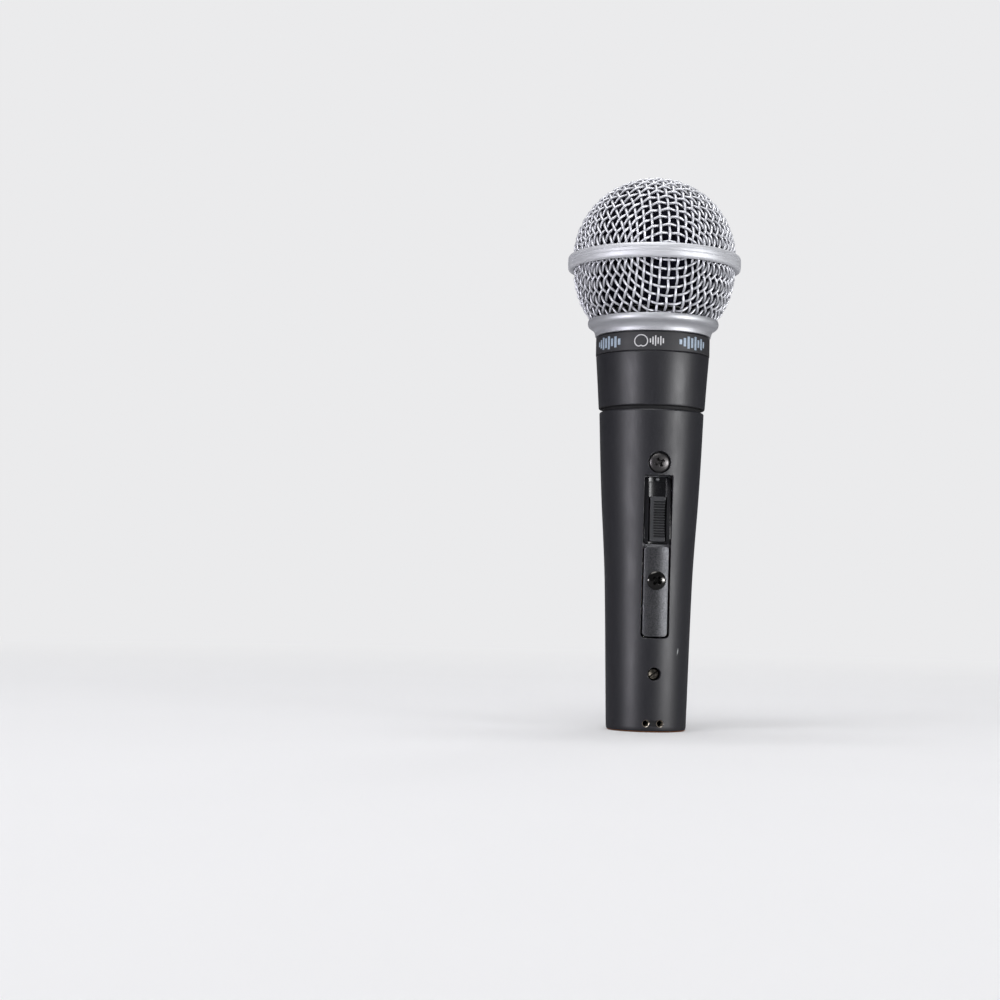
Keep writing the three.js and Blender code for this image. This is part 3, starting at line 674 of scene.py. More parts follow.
# Painted shade: a near-black finish laid where shade falls, in the groove under the head, between the latch
# holes and between the slider's ribs.
PAINTED_SHADE_BLACK = plain("painted shade black", (0.006, 0.006, 0.007), 0.0, 0.7, 1500, 0.1)
BARE_METAL = brushed("bare cast metal", (0.95, 0.86, 0.74), 0.3, "Z", 1.0, 0.2)
WORN_RIM = brushed("worn copper flash", (0.62, 0.27, 0.12), 0.4, "round", 1.0, 0.2)
WHITE_INK = ink("white print", (0.62, 0.62, 0.63), (0.45, 0.45, 0.46), (0.66, 0.66, 0.67))
BLUE_INK = ink("blue-grey print", (0.36, 0.44, 0.54), (0.27, 0.34, 0.42), (0.40, 0.48, 0.57))

slots = {part["node"]: part["material_slot"] for part in frame["record"]["subparts"]}
for node, slot in slots.items():
    shown = nodes[node].data
    shown.materials.clear()
    shown.materials.append(MATERIALS[slot])

# The shock mount's sleeve and the capsule's leads are copied as pieces of their own, in place of their CAD
# nodes.
HELD_Z = {"shock_mount": 112, "capsule_lead_hot": 46, "capsule_lead_cold": 46}
for node, held in HELD_Z.items():
    piece = add_object("flexing_" + node, nodes[node].data.copy())
    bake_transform(piece)
    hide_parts(node)


# ---------------------------------------------------------------- woven grille

# The wires to each side of a cap's pole, how unevenly they lie in mm, and how finely they are modelled.
WIRE_COUNT = 19
WIRE_SHAKE = 0.035
WIRE_SIDES = 8
STEPS_PER_CROSSING = 6
SHORTEST_RUN = 4

# On the bias the sheet reaches a share further, and moves a share of the way to an even spacing.
BIAS_REACH = 0.15
BIAS_SHARE = 0.8

# The collar grips the bowl from a height down, and draws it in by a depth. The band hides both caps' edges.
BOWL_EDGE_Z = 119.25
GRIP_Z = 121.6
GRIP_LENGTH = 1.8
GRIP_DEPTH = 0.12
SEAM_HALF = 0.3


def eased(point, radius, pitch, i, j):
    """Moves a crossing on the bias outwards, as a real sheet stretches a little there besides shearing."""
    azimuth = math.atan2(j, i)
    bias = math.sin(2 * azimuth) ** 2
    polar = (1 + BIAS_REACH * bias) * pitch * math.hypot(i, j) / radius
    flat = math.sin(polar)
    even = np.array([flat * math.cos(azimuth), flat * math.sin(azimuth), math.cos(polar)])
    share = BIAS_SHARE * bias
    moved = share * radius * even + (1 - share) * point
    return radius * moved / np.linalg.norm(moved)


def woven_net(radius, pitch, count):
    """Crossing points of two sets of wires laid over a sphere from its pole.

    The spacing along every wire stays near the pitch, as in a woven sheet that shears and hardly stretches.
    Returns an array indexed by [i + count, j + count].
    """
    net = np.full((2 * count + 1, 2 * count + 1, 3), np.nan)
    step = 2 * math.asin(pitch / 2 / radius)
    k = radius**2 - pitch**2 / 2
    quarter = np.full((count + 1, count + 1, 3), np.nan)
    for i in range(count + 1):
        quarter[i, 0] = radius * math.sin(i * step), 0, radius * math.cos(i * step)
        quarter[0, i] = 0, radius * math.sin(i * step), radius * math.cos(i * step)
    for total in range(2, 2 * count + 1):
        for i in range(max(1, total - count), min(count, total - 1) + 1):
            j = total - i
            a, b, back = quarter[i - 1, j], quarter[i, j - 1], quarter[i - 1, j - 1]
            middle, normal = a + b, np.cross(a, b)
            along = 2 * k / (middle @ middle)
            left = radius**2 - along**2 * (middle @ middle)
            if not left >= 0:
                continue
            side = math.sqrt(left) / np.linalg.norm(normal)
            choices = [along * middle + side * normal, along * middle - side * normal]
            quarter[i, j] = max(choices, key=lambda p: np.linalg.norm(p - back))
    for i in range(1, count + 1):
        for j in range(1, count + 1):
            quarter[i, j] = eased(quarter[i, j], radius, pitch, i, j)
    for i in range(-count, count + 1):
        for j in range(-count, count + 1):
            signs = (math.copysign(1, i), math.copysign(1, j), 1)
            net[i + count, j + count] = quarter[abs(i), abs(j)] * signs
    return net


def wire_line(points, sign, steps):
    """A smooth line of unit vectors through crossing points, and its height above and below the middle."""
    directions, heights = [], []
    count = len(points)
    for k in range(count - 1):
        p0, p1, p2, p3 = points[max(k - 1, 0)], points[k], points[k + 1], points[min(k + 2, count - 1)]
        last = k == count - 2
        for t in np.linspace(0, 1, steps + 1)[: steps + 1 if last else steps]:
            curved = (2 * p0 - 5 * p1 + 4 * p2 - p3) * t**2 + (3 * p1 - p0 - 3 * p2 + p3) * t**3
            p = 0.5 * (2 * p1 + (p2 - p0) * t + curved)
            directions.append(p / np.linalg.norm(p))
            heights.append(sign * (-1) ** k * math.cos(math.pi * t))
    return np.array(directions), np.array(heights)


def tube(path, up, radius, sides):
    """A closed round tube along a path. up holds a direction across the path at each point."""
    tangent = np.gradient(path, axis=0)
    tangent /= np.linalg.norm(tangent, axis=1)[:, None]
    across = np.cross(tangent, up)
    across /= np.linalg.norm(across, axis=1)[:, None]
    over = np.cross(across, tangent)
    angles = 2 * math.pi * np.arange(sides) / sides
    rings = (
        path[:, None, :]
        + radius * np.cos(angles)[None, :, None] * across[:, None, :]
        + radius * np.sin(angles)[None, :, None] * over[:, None, :]
    )
    return rings.reshape(-1, 3), bridged(sides, len(path))


def woven_cap(name, outer_radius, centre_z, side, keep, place, seed):
    """A woven wire cap. side is 1 for a pole at the top and -1 for one at the bottom.

    keep says which points of a wire belong to the cap; place may shift a point after weaving.
    """
    middle = outer_radius - 2 * WIRE_R
    lowest = -0.35 * middle
    count = WIRE_COUNT
    net = woven_net(middle, WIRE_PITCH, count)
    net = net + np.random.default_rng(seed).normal(0, WIRE_SHAKE, net.shape)
    parts = []
    for family in (0, 1):
        for fixed in range(-count, count + 1):
            row = net[fixed + count, :] if family == 0 else net[:, fixed + count]
            good = [k for k in range(2 * count + 1) if np.isfinite(row[k]).all() and row[k][2] > lowest]
            good = [k for k in good if abs(k - count) <= max(good) - count]
            if len(good) < 3:
                continue
            sign = (-1) ** (fixed + good[0] + family)
            directions, heights = wire_line([row[k] for k in good], sign, STEPS_PER_CROSSING)
            reach = middle + heights * WIRE_R
            line = directions * reach[:, None]
            line[:, 2] = centre_z + side * line[:, 2]
            up = directions * np.array([1, 1, side])
            inside = np.flatnonzero([keep(p) for p in line])
            for run in np.split(inside, np.flatnonzero(np.diff(inside) > 1) + 1):
                if len(run) >= SHORTEST_RUN:
                    path = np.array([place(p) for p in line[run]])
                    parts.append(tube(path, up[run], WIRE_R, WIRE_SIDES))
    return make_object(name, *merged(parts), 60)


def bowl_place(p):
    """The bowl's edge is drawn in where the collar grips it."""
    pull = min(max((GRIP_Z - p[2]) / GRIP_LENGTH, 0), 1)
    r = math.hypot(p[0], p[1])
    scale = (r - GRIP_DEPTH * pull * pull * (3 - 2 * pull)) / r
    return np.array([p[0] * scale, p[1] * scale, p[2]])


dome = woven_cap(
    "dome_wires", DOME_R, DOME_CENTRE_Z, 1, lambda p: p[2] > BAND_Z + SEAM_HALF, lambda p: p, 3
)
dress(dome, "grille", "grille_wire", "grille_dome_mesh")
bowl = woven_cap(
    "bowl_wires", BOWL_R, BOWL_CENTRE_Z, -1,
    lambda p: BOWL_EDGE_Z < p[2] < BAND_Z - SEAM_HALF, bowl_place, 5,
)
dress(bowl, "grille", "grille_wire", "grille_bowl_mesh")

# ---------------------------------------------------------------- band, collar, name band, head

low, high = BAND_Z - BAND_HALF, BAND_Z + BAND_HALF


def grooved(radius, centre, half_width, depth):
    """A shallow round groove in an upright wall."""
    return [
        (radius, centre - half_width),
        (radius - depth * 0.75, centre - half_width * 0.5),
        (radius - depth, centre),
        (radius - depth * 0.75, centre + half_width * 0.5),
        (radius, centre + half_width),
    ]


band_profile = [
    (23.7, low + 0.1), (24.0, low), (24.8, low), (25.12, low + 0.16), (25.3, low + 0.5), (25.37, low + 1.0),
    *grooved(25.38, high - 2.3, 0.16, 0.13), (25.39, high - 1.9), *grooved(25.38, high - 1.25, 0.16, 0.15),
    (25.3, high - 0.5), (25.12, high - 0.16), (24.8, high), (24.0, high), (23.75, high - 0.1),
    (23.95, high - 0.5), (24.3, high - 0.6), (24.3, low + 0.6), (23.95, low + 0.5),
]
band = lathe("band", band_profile, 192, 50)
dress(band, "grille", "grille_ring", "grille_band", material=PEARL_SILVER)

collar_profile = rounded(
    [
        (15.65, 114.8), (16.9, 114.8), (17.0, 115.3), (17.12, 115.9), (17.4, 116.5), (17.85, 117.0),
        (18.5, 117.35), (18.95, 117.75), (19.17, 118.3), (19.17, 118.9), (19.05, 119.4), (18.93, 119.62),
        (18.8, 119.6), (18.78, 119.05), (16.1, 119.0), (16.1, 119.9), (15.4, 119.9), (15.4, 115.05),
    ],
    [0.1, 0.15, 0.3, 0.3, 0.3, 0.3, 0.2, 0.3, 0.3, 0.3, 0.2, 0.08, 0.08, 0.1, 0.1, 0.1, 0.1, 0.1],
)
collar = lathe("collar", collar_profile, 192, 50)
dress(collar, "grille", "grille_ring", "grille_collar")

name_low, name_high = NAME_BAND_Z
name_band_profile = rounded(
    [(15.9, name_low), (NAME_BAND_R, name_low), (NAME_BAND_R, name_high), (15.9, name_high)], 0.22
)
name_band = lathe("name_ring", name_band_profile, 192)
dress(name_band, "handle", "name_band_grey", "name_band")

head_profile = rounded(
    [
        (12.95, 85.4), (12.95, 92.55), (14.3, 92.55), (14.3, 93.4), (15.5, 93.4), (15.62, 95.3),
        (16.0, 101.3), (16.55, 108.95), (15.75, 108.95), (15.75, 114.35), (15.2, 114.35), (15.2, 121.3),
        (13.4, 121.3), (13.4, 97.6), (11.4, 96.4), (11.4, 85.4),
    ],
    [0.2, 0.1, 0.1, 0.1, 0.45, 2.0, 2.0, 0.3, 0.1, 0.1, 0.1, 0.3, 0.3, 0.1, 0.1, 0.1],
)
head = lathe("head_body", head_profile, 192)
dress(head, "handle", "handle_enamel", "head_housing")
# Painted shade: the neck and the head's underside, down in the groove above the handle, are painted near
# black.
paint_faces(head, PAINTED_SHADE_BLACK, lambda p: p.z < 93.6)

# The neck's thread is a real helical ridge, hidden under the collar until the grille is unscrewed.
path = []
for turned in np.linspace(0, THREAD_TURNS, 64 * THREAD_TURNS + 1):
    path.append(on_circle(THREAD_R, 2 * math.pi * turned, THREAD_START_Z + THREAD_PITCH * turned))
path = np.array(path)
outwards = path * (1, 1, 0) / THREAD_R
thread = make_object("neck_thread", *tube(path, outwards, THREAD_RIDGE_R, 6), 60)
dress(thread, "handle", "plain_steel")

# ---------------------------------------------------------------- handle

outside = [(10.6, 0), (11.0, 0.1), (11.3, 0.32), (11.4, 0.46), (11.5, 0.65), (11.6, 1.1)]
outside += [(handle_radius(z), z) for z in np.linspace(1.6, 92.0, 62)]
outside += [(handle_radius(92.1) - 0.06, 92.25), (handle_radius(92.1) - 0.2, 92.4)]
inside = [(13.1, 92.4), (13.1, 84.6), (12.6, 84.2)]
inside += [(handle_radius(z) - HANDLE_WALL, z) for z in (66, 46, 28)]
inside += [(SOCKET_R, 25.4), (SOCKET_R, 0.5), (SOCKET_R + 0.45, 0)]
handle = lathe("handle_body", outside + inside, 200)
slot_outline = outline_rectangle(SLOT_HALF, *SLOT_Z, 1.3, 0.12)
groove_outline = outline_rectangle(1.5, LATCH_Z - 0.8, LATCH_Z + 0.8, 0.1, 0.1)
cut(
    handle,
    flared_cutter(slot_outline, 0.22, -5, handle_front),
    round_cutter(0, TOP_SCREW_Z, 3.2, 0.18, -13.3, handle_front),
    round_cutter(0, SET_SCREW_Z, 1.87, 0.16, -6, handle_front),
    flared_cutter(groove_outline, 0.12, -11.05, handle_front),
)
cut(handle, round_cutter(0, TOP_SCREW_Z, 1.7, 0.05, -5, -13.5))
for latch_x in (-LATCH_X, LATCH_X):
    cut(handle, round_cutter(latch_x, LATCH_Z, LATCH_HOLE_R, 0.26, -6, -11.0, 40))

# The skin is the plain turned part of the handle, between these heights.
SKIN_Z = (1.5, 92.0)
SKIN_TOLERANCE = 0.05


def handle_normal(p):
    """The exact outward normal of the handle's skin at a point in mm, or None away from the skin."""
    x, y, z = p
    r = math.hypot(x, y)
    if z < SKIN_Z[0] or z > SKIN_Z[1] or abs(r - handle_radius(z)) > SKIN_TOLERANCE:
        return None
    return Vector((x / r, y / r, -handle_slope(z))).normalized()


set_normals(handle, handle_normal)
dress(handle, "handle", "handle_enamel", "handle_shell")


def in_latch_hole(p):
    """Inside one of the two drilled latch holes, below the enamel."""
    across = math.hypot(abs(p.x) - LATCH_X, p.z - LATCH_Z)
    return p.y < -7.5 and across < LATCH_MOUTH_R and math.hypot(p.x, p.y) < handle_radius(p.z) - 0.3


def in_latch_groove(p):
    """The floor and walls of the groove between the two latch holes."""
    if abs(p.x) > 1.45 or abs(p.z - LATCH_Z) > 0.85 or p.y > -8 or in_latch_hole(p):
        return False
    return math.hypot(p.x, p.y) < handle_radius(p.z) - 0.25


paint_faces(handle, BARE_METAL, in_latch_hole)
paint_faces(handle, WORN_RIM, lambda p: p.z < 0.42)
# Painted shade: the groove between the latch holes is painted near black.
paint_faces(handle, PAINTED_SHADE_BLACK, in_latch_groove)


# ---------------------------------------------------------------- height-field pieces

def spaced(low_end, high_end, count, crowd=0.35):
    """Values between two ends, closer together near both."""
    t = np.linspace(-1, 1, count)
    t = (1 - crowd) * t + crowd * np.sin(t * math.pi / 2)
    return low_end + (high_end - low_end) * (t + 1) / 2


def columns_across(count):
    """Places from -1 to 1 across a piece, closer together near its sides."""
    return spaced(-1, 1, count, 0.6)


def slab(name, half, z_range, corner, front, depth, fillet, ts, rows, sharp=40):
    """A plate with rounded corners, a rounded front edge and any front surface y = front(x, z).

    ts holds the places of its columns, from -1 to 1.
    """
    z0, z1 = z_range
    zs = spaced(z0, z1, rows)
    columns = len(ts)

    def half_at(z):
        """Half the plate's width at a height, between its rounded corners."""
        inset = max(corner - (z - z0), corner - (z1 - z), 0)
        return half - corner + math.sqrt(max(corner**2 - inset**2, 0))

    vertices, back = [], []
    for z in zs:
        w = half_at(z)
        for t in ts:
            x = t * w
            gap = min(half_at(z) - abs(x), z - z0, z1 - z)
            dip = fillet - math.sqrt(max(fillet**2 - (fillet - gap) ** 2, 0)) if gap < fillet else 0
            vertices.append((x, front(x, z) + dip, z))
            back.append((x, front(x, z) + depth, z))
    base = len(vertices)
    faces = []
    for r in range(rows - 1):
        for c in range(columns - 1):
            a = r * columns + c
            faces.append((a, a + 1, a + columns + 1, a + columns))
            faces.append(tuple(base + i for i in (a + columns, a + columns + 1, a + 1, a)))
    rim = list(range(columns)) + [r * columns + columns - 1 for r in range(1, rows)]
    rim += [(rows - 1) * columns + c for c in reversed(range(columns - 1))]
    rim += [r * columns for r in reversed(range(1, rows - 1))]
    for a, b in zip(rim, rim[1:] + rim[:1]):
        faces.append((b, a, base + a, base + b))
    obj = make_object(name, vertices + back, faces, sharp)
    clean(obj, 2e-6)
    return obj


PLATE_CURVE_R = 9.5


def plate_front(x, z):
    """The plate bends more tightly than the handle, and lies a hair under its skin along the middle."""
    middle = -handle_radius(z) + 0.02
    return middle + PLATE_CURVE_R - math.sqrt(PLATE_CURVE_R**2 - x * x)


def plate_normal(p):
    """The exact outward normal of the plate's front at a point in mm, or None away from it."""
    if not PLATE_Z[0] + 0.3 < p[2] < PLATE_Z[1] - 0.3 or abs(p[0]) > PLATE_HALF - 0.25:
        return None
    if abs(p[1] - plate_front(p[0], p[2])) > 0.03:
        return None
    ahead = -math.sqrt(PLATE_CURVE_R**2 - p[0] ** 2)
    return Vector((p[0], ahead, -handle_slope(p[2]) * PLATE_CURVE_R)).normalized()


plate = slab("cover_plate", PLATE_HALF, PLATE_Z, 1.2, plate_front, 1.25, 0.2, columns_across(41), 90)
cut(
    plate,
    round_cutter(0, PLATE_SCREW_Z, 2.85, 0.12, -12.35, plate_front),
    round_cutter(0, PLATE_SCREW_Z, 1.6, 0.05, -9, -12.6),
)
set_normals(plate, plate_normal)
dress(plate, "handle", "plate_metal", "switch_plate")

# Bezel: a glossy valley with raised side rails, and a floor behind the slider.
BEZEL_HALF = 3.85
BEZEL_Z = (53.8, 73.1)
POCKET_HALF = 2.35
POCKET_Z = (54.15, 71.7)
RAIL_X = 2.5
RAIL_RUN = 0.12
RAIL_SLOPE = 0.06
RAIL_Y = -12.75
RAIL_FOOT_Y = -11.75
VALLEY_Y = -11.15
VALLEY_R = 9.0
FLOOR_Y = -10.95


def hollow(y, radius, x):
    """The y of a round hollow at x, which is y deep along its middle."""
    return y - radius + math.sqrt(radius**2 - x * x)


def bezel_front(x, z):
    """Two rails slope back from the slider's sides, and a valley lies between them."""
    end = min(max((BEZEL_Z[1] - 0.3 - z) / 2.4, 0), max((z - BEZEL_Z[0] - 0.1) / 1.2, 0), 1)
    if abs(x) > RAIL_X:
        rise = min((abs(x) - RAIL_X) / RAIL_RUN, 1)
        crest = RAIL_Y + RAIL_SLOPE * (abs(x) - RAIL_X)
        return RAIL_FOOT_Y + rise * (crest - RAIL_FOOT_Y) * (0.35 + 0.65 * end)
    return hollow(VALLEY_Y, VALLEY_R, x)


def rail_columns():
    """Columns across the bezel, close together where the rails rise."""
    half = list(np.linspace(0, 0.93 * RAIL_X, 9))
    half += [RAIL_X + step for step in (-0.02, 0.04, 0.09, 0.13)]
    half += list(np.linspace(RAIL_X + 0.3, BEZEL_HALF - 0.22, 5))
    half += [BEZEL_HALF - step for step in (0.12, 0.05, 0)]
    return np.array([-x for x in reversed(half[1:])] + half) / BEZEL_HALF


bezel = slab("bezel", BEZEL_HALF, BEZEL_Z, 0.9, bezel_front, 0.9, 0.18, rail_columns(), 60)
cut(bezel, block_cutter((-POCKET_HALF, POCKET_HALF), (-14, -8), POCKET_Z))
set_normals(bezel, crease=30)
dress(bezel, "handle", "black_plastic", "switch_bezel")

# Behind the slider a curved floor closes the pocket, and a half-round nub marks its upper end.
floor_piece = slab(
    "bezel_floor", POCKET_HALF - 0.01, (POCKET_Z[0] + 0.01, POCKET_Z[1] - 0.01), 0.1,
    lambda x, z: hollow(FLOOR_Y, VALLEY_R, x), 0.25, 0.02, columns_across(25), 40,
)
dress(floor_piece, "handle", "black_plastic")
NUB_R = 0.5
NUB_NECK = 0.3
nub_profile = [(0, -0.9), (NUB_R, -0.9), (NUB_R, NUB_NECK)]
nub_profile += upright_arc(NUB_R, NUB_NECK, 75, 0, 6)
nub = lathe("bezel_nub", nub_profile, 32)
face_front(nub, -11.5, 72.4)
dress(nub, "handle", "grey_plastic")

# Slider: dished along its length, with ribs across the dish and a plain rim at the left.
SLIDER_Y = -12.9
DISH_R = 22.0
DISH_DEPTH = 0.7
SLIDER_MIDDLE = (SLIDER_Z[0] + SLIDER_Z[1]) / 2
RIB_PITCH = 0.76
RIB_LEFT = -1.15
RIB_REACH = 5.3


def rib_at(z):
    """1 on a rib's crest and 0 between two."""
    return 0.5 + 0.5 * math.cos(2 * math.pi * (z - SLIDER_MIDDLE) / RIB_PITCH)


def in_rib_groove(p):
    """Between two ribs, down near the bottom of the groove."""
    ribbed = p.x > RIB_LEFT and abs(p.z - SLIDER_MIDDLE) < RIB_REACH
    return ribbed and rib_at(p.z) < 0.32 and p.y < SLIDER_Y + 1


def slider_front(x, z):
    """A dish between two plain ends, with ribs that leave through the right side and stop at a left rim."""
    offset = z - SLIDER_MIDDLE
    dished = max(SLIDER_Y, hollow(SLIDER_Y + DISH_DEPTH, DISH_R, offset))
    if x < RIB_LEFT or abs(offset) > RIB_REACH:
        return dished - 0.1
    return dished + 0.22 - 0.38 * rib_at(z) ** 1.3


slider = slab(
    "slider", SLIDER_HALF, SLIDER_Z, 0.5, slider_front, 1.0, 0.2, columns_across(45), 240, 30
)
dress(slider, "switch_slide", "slider_plastic", "switch_slider")
# Painted shade: the bottoms of the grooves between the ribs are painted near black.
paint_faces(slider, PAINTED_SHADE_BLACK, in_rib_groove)


# ---------------------------------------------------------------- screws

# The cross recess's arms, as half a length and half a width at its mouth and at its floor, and its depth.
RECESS_MOUTH = (1.75, 0.50)
RECESS_FLOOR = (0.75, 0.22)
RECESS_DEPTH = 1.05


def cross_recess(head_height, turn):
    """A tapered cross, as two closed cutters in the screw's own frame."""
    parts = []
    levels = ((head_height + 0.3, *RECESS_MOUTH), (head_height - RECESS_DEPTH, *RECESS_FLOOR))
    for extra in (0, 90):
        a = math.radians(turn + extra)
        vertices = []
        for z, long, wide in levels:
            for sx, sy in ((-1, -1), (1, -1), (1, 1), (-1, 1)):
                x, y = sx * long, sy * wide
                vertices.append((x * math.cos(a) - y * math.sin(a), x * math.sin(a) + y * math.cos(a), z))
        parts.append((vertices, bridged(4, 2)))
    return parts


def screw(name, head_radius, head_height, y, z, turn):
    """A cross-recessed screw with a domed head that faces -Y, its underside at depth y."""
    profile = [(0, -4.5), (1.1, -4.5), (1.2, -4.3), (1.2, 0), (head_radius - 0.1, 0), (head_radius, 0.1)]
    profile.append((head_radius, head_height * 0.36))
    for degrees in range(78, -1, -6):
        a = math.radians(degrees)
        r = head_radius * math.sin(a) / math.sin(math.radians(84))
        profile.append((r, head_height * (0.40 + 0.60 * math.cos(a))))
    obj = lathe(name, profile, 64)
    for cutter in cross_recess(head_height, turn):
        cut(obj, cutter)
    face_front(obj, y, z)
    set_normals(obj, crease=24)
    return obj


top_screw = screw("top_screw", head_radius=2.85, head_height=1.3, y=-13.45, z=TOP_SCREW_Z, turn=28)
dress(top_screw, "handle", "dark_steel", "switch_top_screw")
plate_screw = screw("plate_screw", head_radius=2.7, head_height=1.3, y=-12.5, z=PLATE_SCREW_Z, turn=50)
dress(plate_screw, "handle", "black_screw", "switch_plate_screw")

# The connector's set screw sits deep in its hole: a cupped end with a slot across it.
grub_profile = [
    (0, -4.1), (1.2, -4.1), (1.6, -3.7), (1.62, -0.3), (1.5, -0.08),
    (1.3, 0), (1.05, -0.04), (0.6, -0.25), (0, -0.32),
]
set_screw = lathe("set_screw", grub_profile, 48)
slot_turn = Matrix.Rotation(math.radians(35), 3, "Z")
slot_vertices, slot_faces = block_cutter((-2, 2), (-0.24, 0.24), (-0.95, 0.3))
cut(set_screw, ([tuple(slot_turn @ Vector(v)) for v in slot_vertices], slot_faces))
face_front(set_screw, -10.45, SET_SCREW_Z)
set_normals(set_screw, crease=30)
# Partly painted shade: the screw's weathered, speckled steel is darkened to stand in for the shade in its
# deep hole.
dress(set_screw, "handle", "dark_steel", "connector_set_screw", material=WEATHERED_AND_SHADED_STEEL)

# ---------------------------------------------------------------- connector

insert_profile = rounded([(0, 14.6), (7.95, 14.6), (7.95, 25.2), (0, 25.2)], 0.3)
insert = lathe("insert", insert_profile, 96)
PIN_CIRCLE_R = 4
PIN_R = 1.19
PIN_BORE_R = 1.32
PINS = [on_circle(PIN_CIRCLE_R, math.radians(a), 0)[:2] for a in (-60, 60, 180)]
cut(insert, *[upright_cutter(x, y, PIN_BORE_R, 14, 27) for x, y in PINS])
cut(insert, round_cutter(0, SET_SCREW_Z, 1.9, 0.05, -5.8, -8.2))
set_normals(insert, crease=30)
dress(insert, "handle", "insulator", "xlr_insert")

pin_profile = [(0, 3.2), (0.45, 3.24), (0.8, 3.42), (1.05, 3.75), (PIN_R, 4.3)]
pin_profile += [(PIN_R, 25.6), (1.3, 25.7), (1.3, 29.5), (0, 29.5)]
for number, (x, y) in enumerate(PINS, 1):
    pin = lathe(f"pin_{number}", pin_profile, 40)
    pin.data.transform(Matrix.Translation((x * MM, y * MM, 0)))
    dress(pin, "handle", "contact_silver", f"xlr_pin_{number}")

# ---------------------------------------------------------------- foam

# Cells roughen the foam and slow waves dent it, both inwards and by these depths in metres.
CELL_DEPTH = 0.00016
WAVE_DEPTH = 0.0002
foam_profile = upright_arc(FOAM_R, FOAM_LOW_CENTRE_Z, 126.5, 90, 34)
foam_profile += upright_arc(FOAM_R, DOME_CENTRE_Z, 90, 0, 84)
foam_profile += upright_arc(FOAM_R - FOAM_WALL, DOME_CENTRE_Z, 0, 90, 24)
foam_profile += [(18.9, 133), (17.8, 128), (16.4, 124.2), (15.7, 122.6), (15.9, FOAM_BOTTOM_Z)]
foam = lathe("foam_windscreen_soft", foam_profile, 220, 80)
clean(foam)
for vertex in foam.data.vertices:
    cell = noise.noise(vertex.co * 900) + 0.5 * noise.noise(vertex.co * 2100)
    wave = noise.noise(vertex.co * 130)
    outwards = (vertex.co - Vector((0, 0, BAND_Z * MM))).normalized()
    vertex.co -= outwards * (CELL_DEPTH * (cell + 1) + WAVE_DEPTH * (wave + 0.6))
dress(foam, "windscreen", "foam", "foam_windscreen")


# ---------------------------------------------------------------- printed marks on the name band

PRINT_R = (NAME_BAND_R - 0.01, NAME_BAND_R + 0.012)


def printed(name, strips, material):
    """Thin printed strips on the name band. A strip is a list of (left, right) pairs of (across, z) in mm."""
    parts = []
    for strip in strips:
        vertices = []
        for pair in strip:
            for side, r in ((0, PRINT_R[0]), (1, PRINT_R[0]), (1, PRINT_R[1]), (0, PRINT_R[1])):
                across, z = pair[side]
                vertices.append(on_circle(r, across / NAME_BAND_R, z))
        parts.append((vertices, bridged(4, len(strip))))
    obj = make_object(name, *merged(parts), 60)
    turn_outwards(obj)
    dress(obj, "handle", "name_band_grey", material=material)


def bar(x0, x1, z0, z1):
    """An upright strip, split often enough to follow the band's curve."""
    count = max(2, int((x1 - x0) / 0.4) + 2)
    return [((x, z0), (x, z1)) for x in np.linspace(x0, x1, count)]


def cardioid(x, z, size, width):
    """The heart-shaped pickup pattern, as a line of constant width."""
    a = 2 * math.pi * np.arange(73) / 72
    r = size * (1 + np.sin(a)) / 2
    points = np.stack([x + r * np.cos(a), z - size * 0.45 + r * np.sin(a)], axis=1)
    tangent = np.gradient(points, axis=0)
    tangent /= np.linalg.norm(tangent, axis=1)[:, None] + 1e-9
    normal = np.stack([-tangent[:, 1], tangent[:, 0]], axis=1) * width / 2
    return [(tuple(p + n), tuple(p - n)) for p, n in zip(points, normal)]


MARK_Z = sum(NAME_BAND_Z) / 2


def meter(start, step, width, heights):
    """A row of upright bars, like a level meter."""
    lefts = [start + step * k for k in range(len(heights))]
    return [bar(left, left + width, MARK_Z - h, MARK_Z + h) for left, h in zip(lefts, heights)]


# A pickup-pattern symbol and a short meter in front, and a long blue-grey meter at each side of them.
printed("mark_pattern", [cardioid(-6.4, MARK_Z + 0.1, 2.9, 0.3)], WHITE_INK)
printed("mark_meter", meter(-3.9, 0.74, 0.36, [0.6, 1.1, 1.5, 0.9, 1.3, 0.7]), WHITE_INK)
LONG_METER = [0.7, 1.2, 1.75, 1.4, 1.9, 1.1, 1.6, 0.9]
printed("mark_right", meter(4.9, 1.35, 0.85, LONG_METER), BLUE_INK)
printed("mark_left", meter(-23.2, 1.35, 0.85, LONG_METER), BLUE_INK)

# ---------------------------------------------------------------- stage, lights, camera

# The backdrop is a flat floor that curves up behind the microphone, in metres. It lights the microphone and
# is mirrored in it, dimly, as in a dark room. The camera doesn't see it.
FLOOR_FRONT = -3.0
COVE_START = 1.6
COVE_R = 1.2
BACKDROP_TOP = 4.0
BACKDROP_HALF = 1.5
cove = [(COVE_START + y, z) for y, z in upright_arc(COVE_R, COVE_R, 180, 90, 19)]
profile = [(FLOOR_FRONT, 0.0), *cove, (COVE_START + COVE_R, BACKDROP_TOP)]
vertices = [(x, y, z) for y, z in profile for x in (-BACKDROP_HALF, BACKDROP_HALF)]
faces = [(2 * k, 2 * k + 1, 2 * k + 3, 2 * k + 2) for k in range(len(profile) - 1)]
backdrop = make_object("backdrop", np.array(vertices) / MM, faces, 80)
screen, tree, shader = new_material("screen", (0.76, 0.76, 0.77), 0.0, 0.9, Specular_IOR_Level=0.2)
mirrored = add_node(tree, "ShaderNodeLightPath").outputs["Is Glossy Ray"]
feed(shader, Base_Color=mix(tree, mirrored, (0.76, 0.76, 0.77), (0.24, 0.24, 0.25)))
backdrop.data.materials.append(screen)
backdrop.visible_camera = False

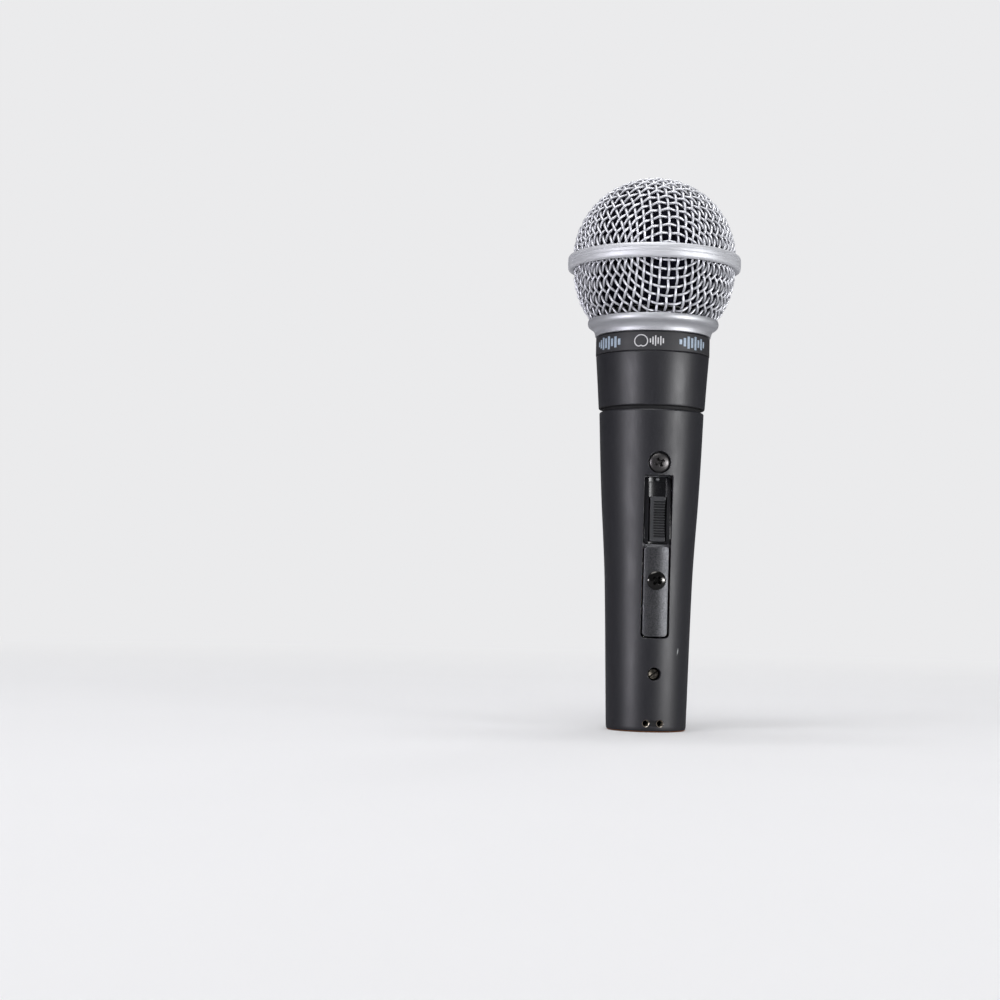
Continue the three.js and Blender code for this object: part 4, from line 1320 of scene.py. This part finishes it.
# The camera sees a round sheet of paper, lit near the microphone. It fades into the even tone of the room.
ROOM_TONE = (0.83, 0.83, 0.84)
PAPER_FADE = (0.1, 0.9)
PAPER_R = 15.0
PAPER_Z = 0.0001
rim = [(x, y, PAPER_Z) for x, y in outline_circle(0, 0, PAPER_R, 96)]
sheet = make_object("paper_sheet", np.array(rim) / MM, [tuple(range(96))], 80)
paper, tree, shader = new_material("paper", ROOM_TONE, 0.0, 0.9, Specular_IOR_Level=0.2)
mottle(tree, shader, 3, (0.87, 0.87, 0.88), (0.90, 0.90, 0.91))
place = add_node(tree, "ShaderNodeNewGeometry").outputs["Position"]
away = add_node(tree, "ShaderNodeVectorMath", {"operation": "LENGTH"}, i0=place).outputs["Value"]
eased_in = {"interpolation_type": "SMOOTHSTEP"}
far = add_node(tree, "ShaderNodeMapRange", eased_in, i0=away, i1=PAPER_FADE[0], i2=PAPER_FADE[1])
glow = add_node(tree, "ShaderNodeEmission", Color=(*ROOM_TONE, 1))
surface = add_node(
    tree, "ShaderNodeMixShader", i0=far.outputs[0], i1=shader.outputs["BSDF"], i2=glow.outputs[0]
)
feed(tree.nodes["Material Output"], Surface=surface.outputs[0])
sheet.data.materials.append(paper)
for kind in ("diffuse", "glossy", "transmission", "shadow"):
    setattr(sheet, "visible_" + kind, False)


def area_light(name, place, target, size, power, colour=(1, 1, 1)):
    """A rectangular lamp at a place in metres, turned to its target and hidden from the camera."""
    data = bpy.data.lights.new(name, "AREA")
    data.shape = "RECTANGLE"
    data.size, data.size_y = size
    data.energy = power
    data.color = colour
    obj = add_object(name, data)
    obj.location = place
    obj.rotation_euler = (Vector(target) - Vector(place)).to_track_quat("-Z", "Y").to_euler()
    obj.visible_camera = False


CENTRE = Vector((0, 0, 0.085))


def strip(name, azimuth, distance, size, power, colour=(1, 1, 1), height=0.10):
    """A soft box standing round the microphone, at an azimuth from the switch side towards +X."""
    place = on_circle(distance, math.radians(azimuth), height)
    area_light(name, place, CENTRE, size, power, colour)


strip("right_box", 47, 1.0, (0.46, 0.18), 5.6, (0.99, 0.99, 1.0))
strip("left_box", -56, 1.0, (0.42, 0.18), 4.3, (0.95, 0.93, 1.0))
strip("rear_box", 150, 1.3, (0.3, 0.7), 1.4, height=1.0)
area_light("top_box", (-0.25, -0.55, 1.15), CENTRE, (0.9, 0.7), 6.2)
area_light("overhead_wash", (0, 0, 4.0), (0, 0, 0), (3.6, 3.2), 45)
area_light("backdrop_wash", (0, 0.6, 3.0), (0, 2.8, 1.8), (2.8, 1.0), 50)

# The room reads as pale to the camera and as dim to the microphone, so its satin finish keeps its depth.
world = bpy.data.worlds.new("studio")
world.use_nodes = True
room = world.node_tree
seen = add_node(room, "ShaderNodeLightPath").outputs["Is Camera Ray"]
feed(room.nodes["Background"], Color=mix(room, seen, (0.105, 0.107, 0.115), ROOM_TONE))
bpy.context.scene.world = world
bpy.context.scene.view_settings.view_transform = "Standard"

# The camera stands a little to the left of the switch, low, and looks slightly up. Degrees and metres.
CAMERA_TURN = 10.5
CAMERA_DISTANCE = 0.547
CAMERA_HEIGHT = 0.037
LOOK_LEFT = 4.6
LOOK_UP = 3.05
ROLL = 1.32
camera = add_object("camera", bpy.data.cameras.new("camera"))
camera.data.sensor_width = 36
camera.data.lens = 67.1
camera.data.clip_start = 0.01
camera.data.clip_end = 20
turn = math.radians(CAMERA_TURN)
camera.location = on_circle(CAMERA_DISTANCE, -turn, CAMERA_HEIGHT)
heading = turn - math.radians(LOOK_LEFT)
pitch = math.radians(LOOK_UP)
look = Vector((math.sin(heading) * math.cos(pitch), math.cos(heading) * math.cos(pitch), math.sin(pitch)))
aim = look.to_track_quat("-Z", "Y").to_matrix().to_4x4() @ Matrix.Rotation(math.radians(ROLL), 4, "Z")
camera.rotation_euler = aim.to_euler()
bpy.context.scene.camera = camera
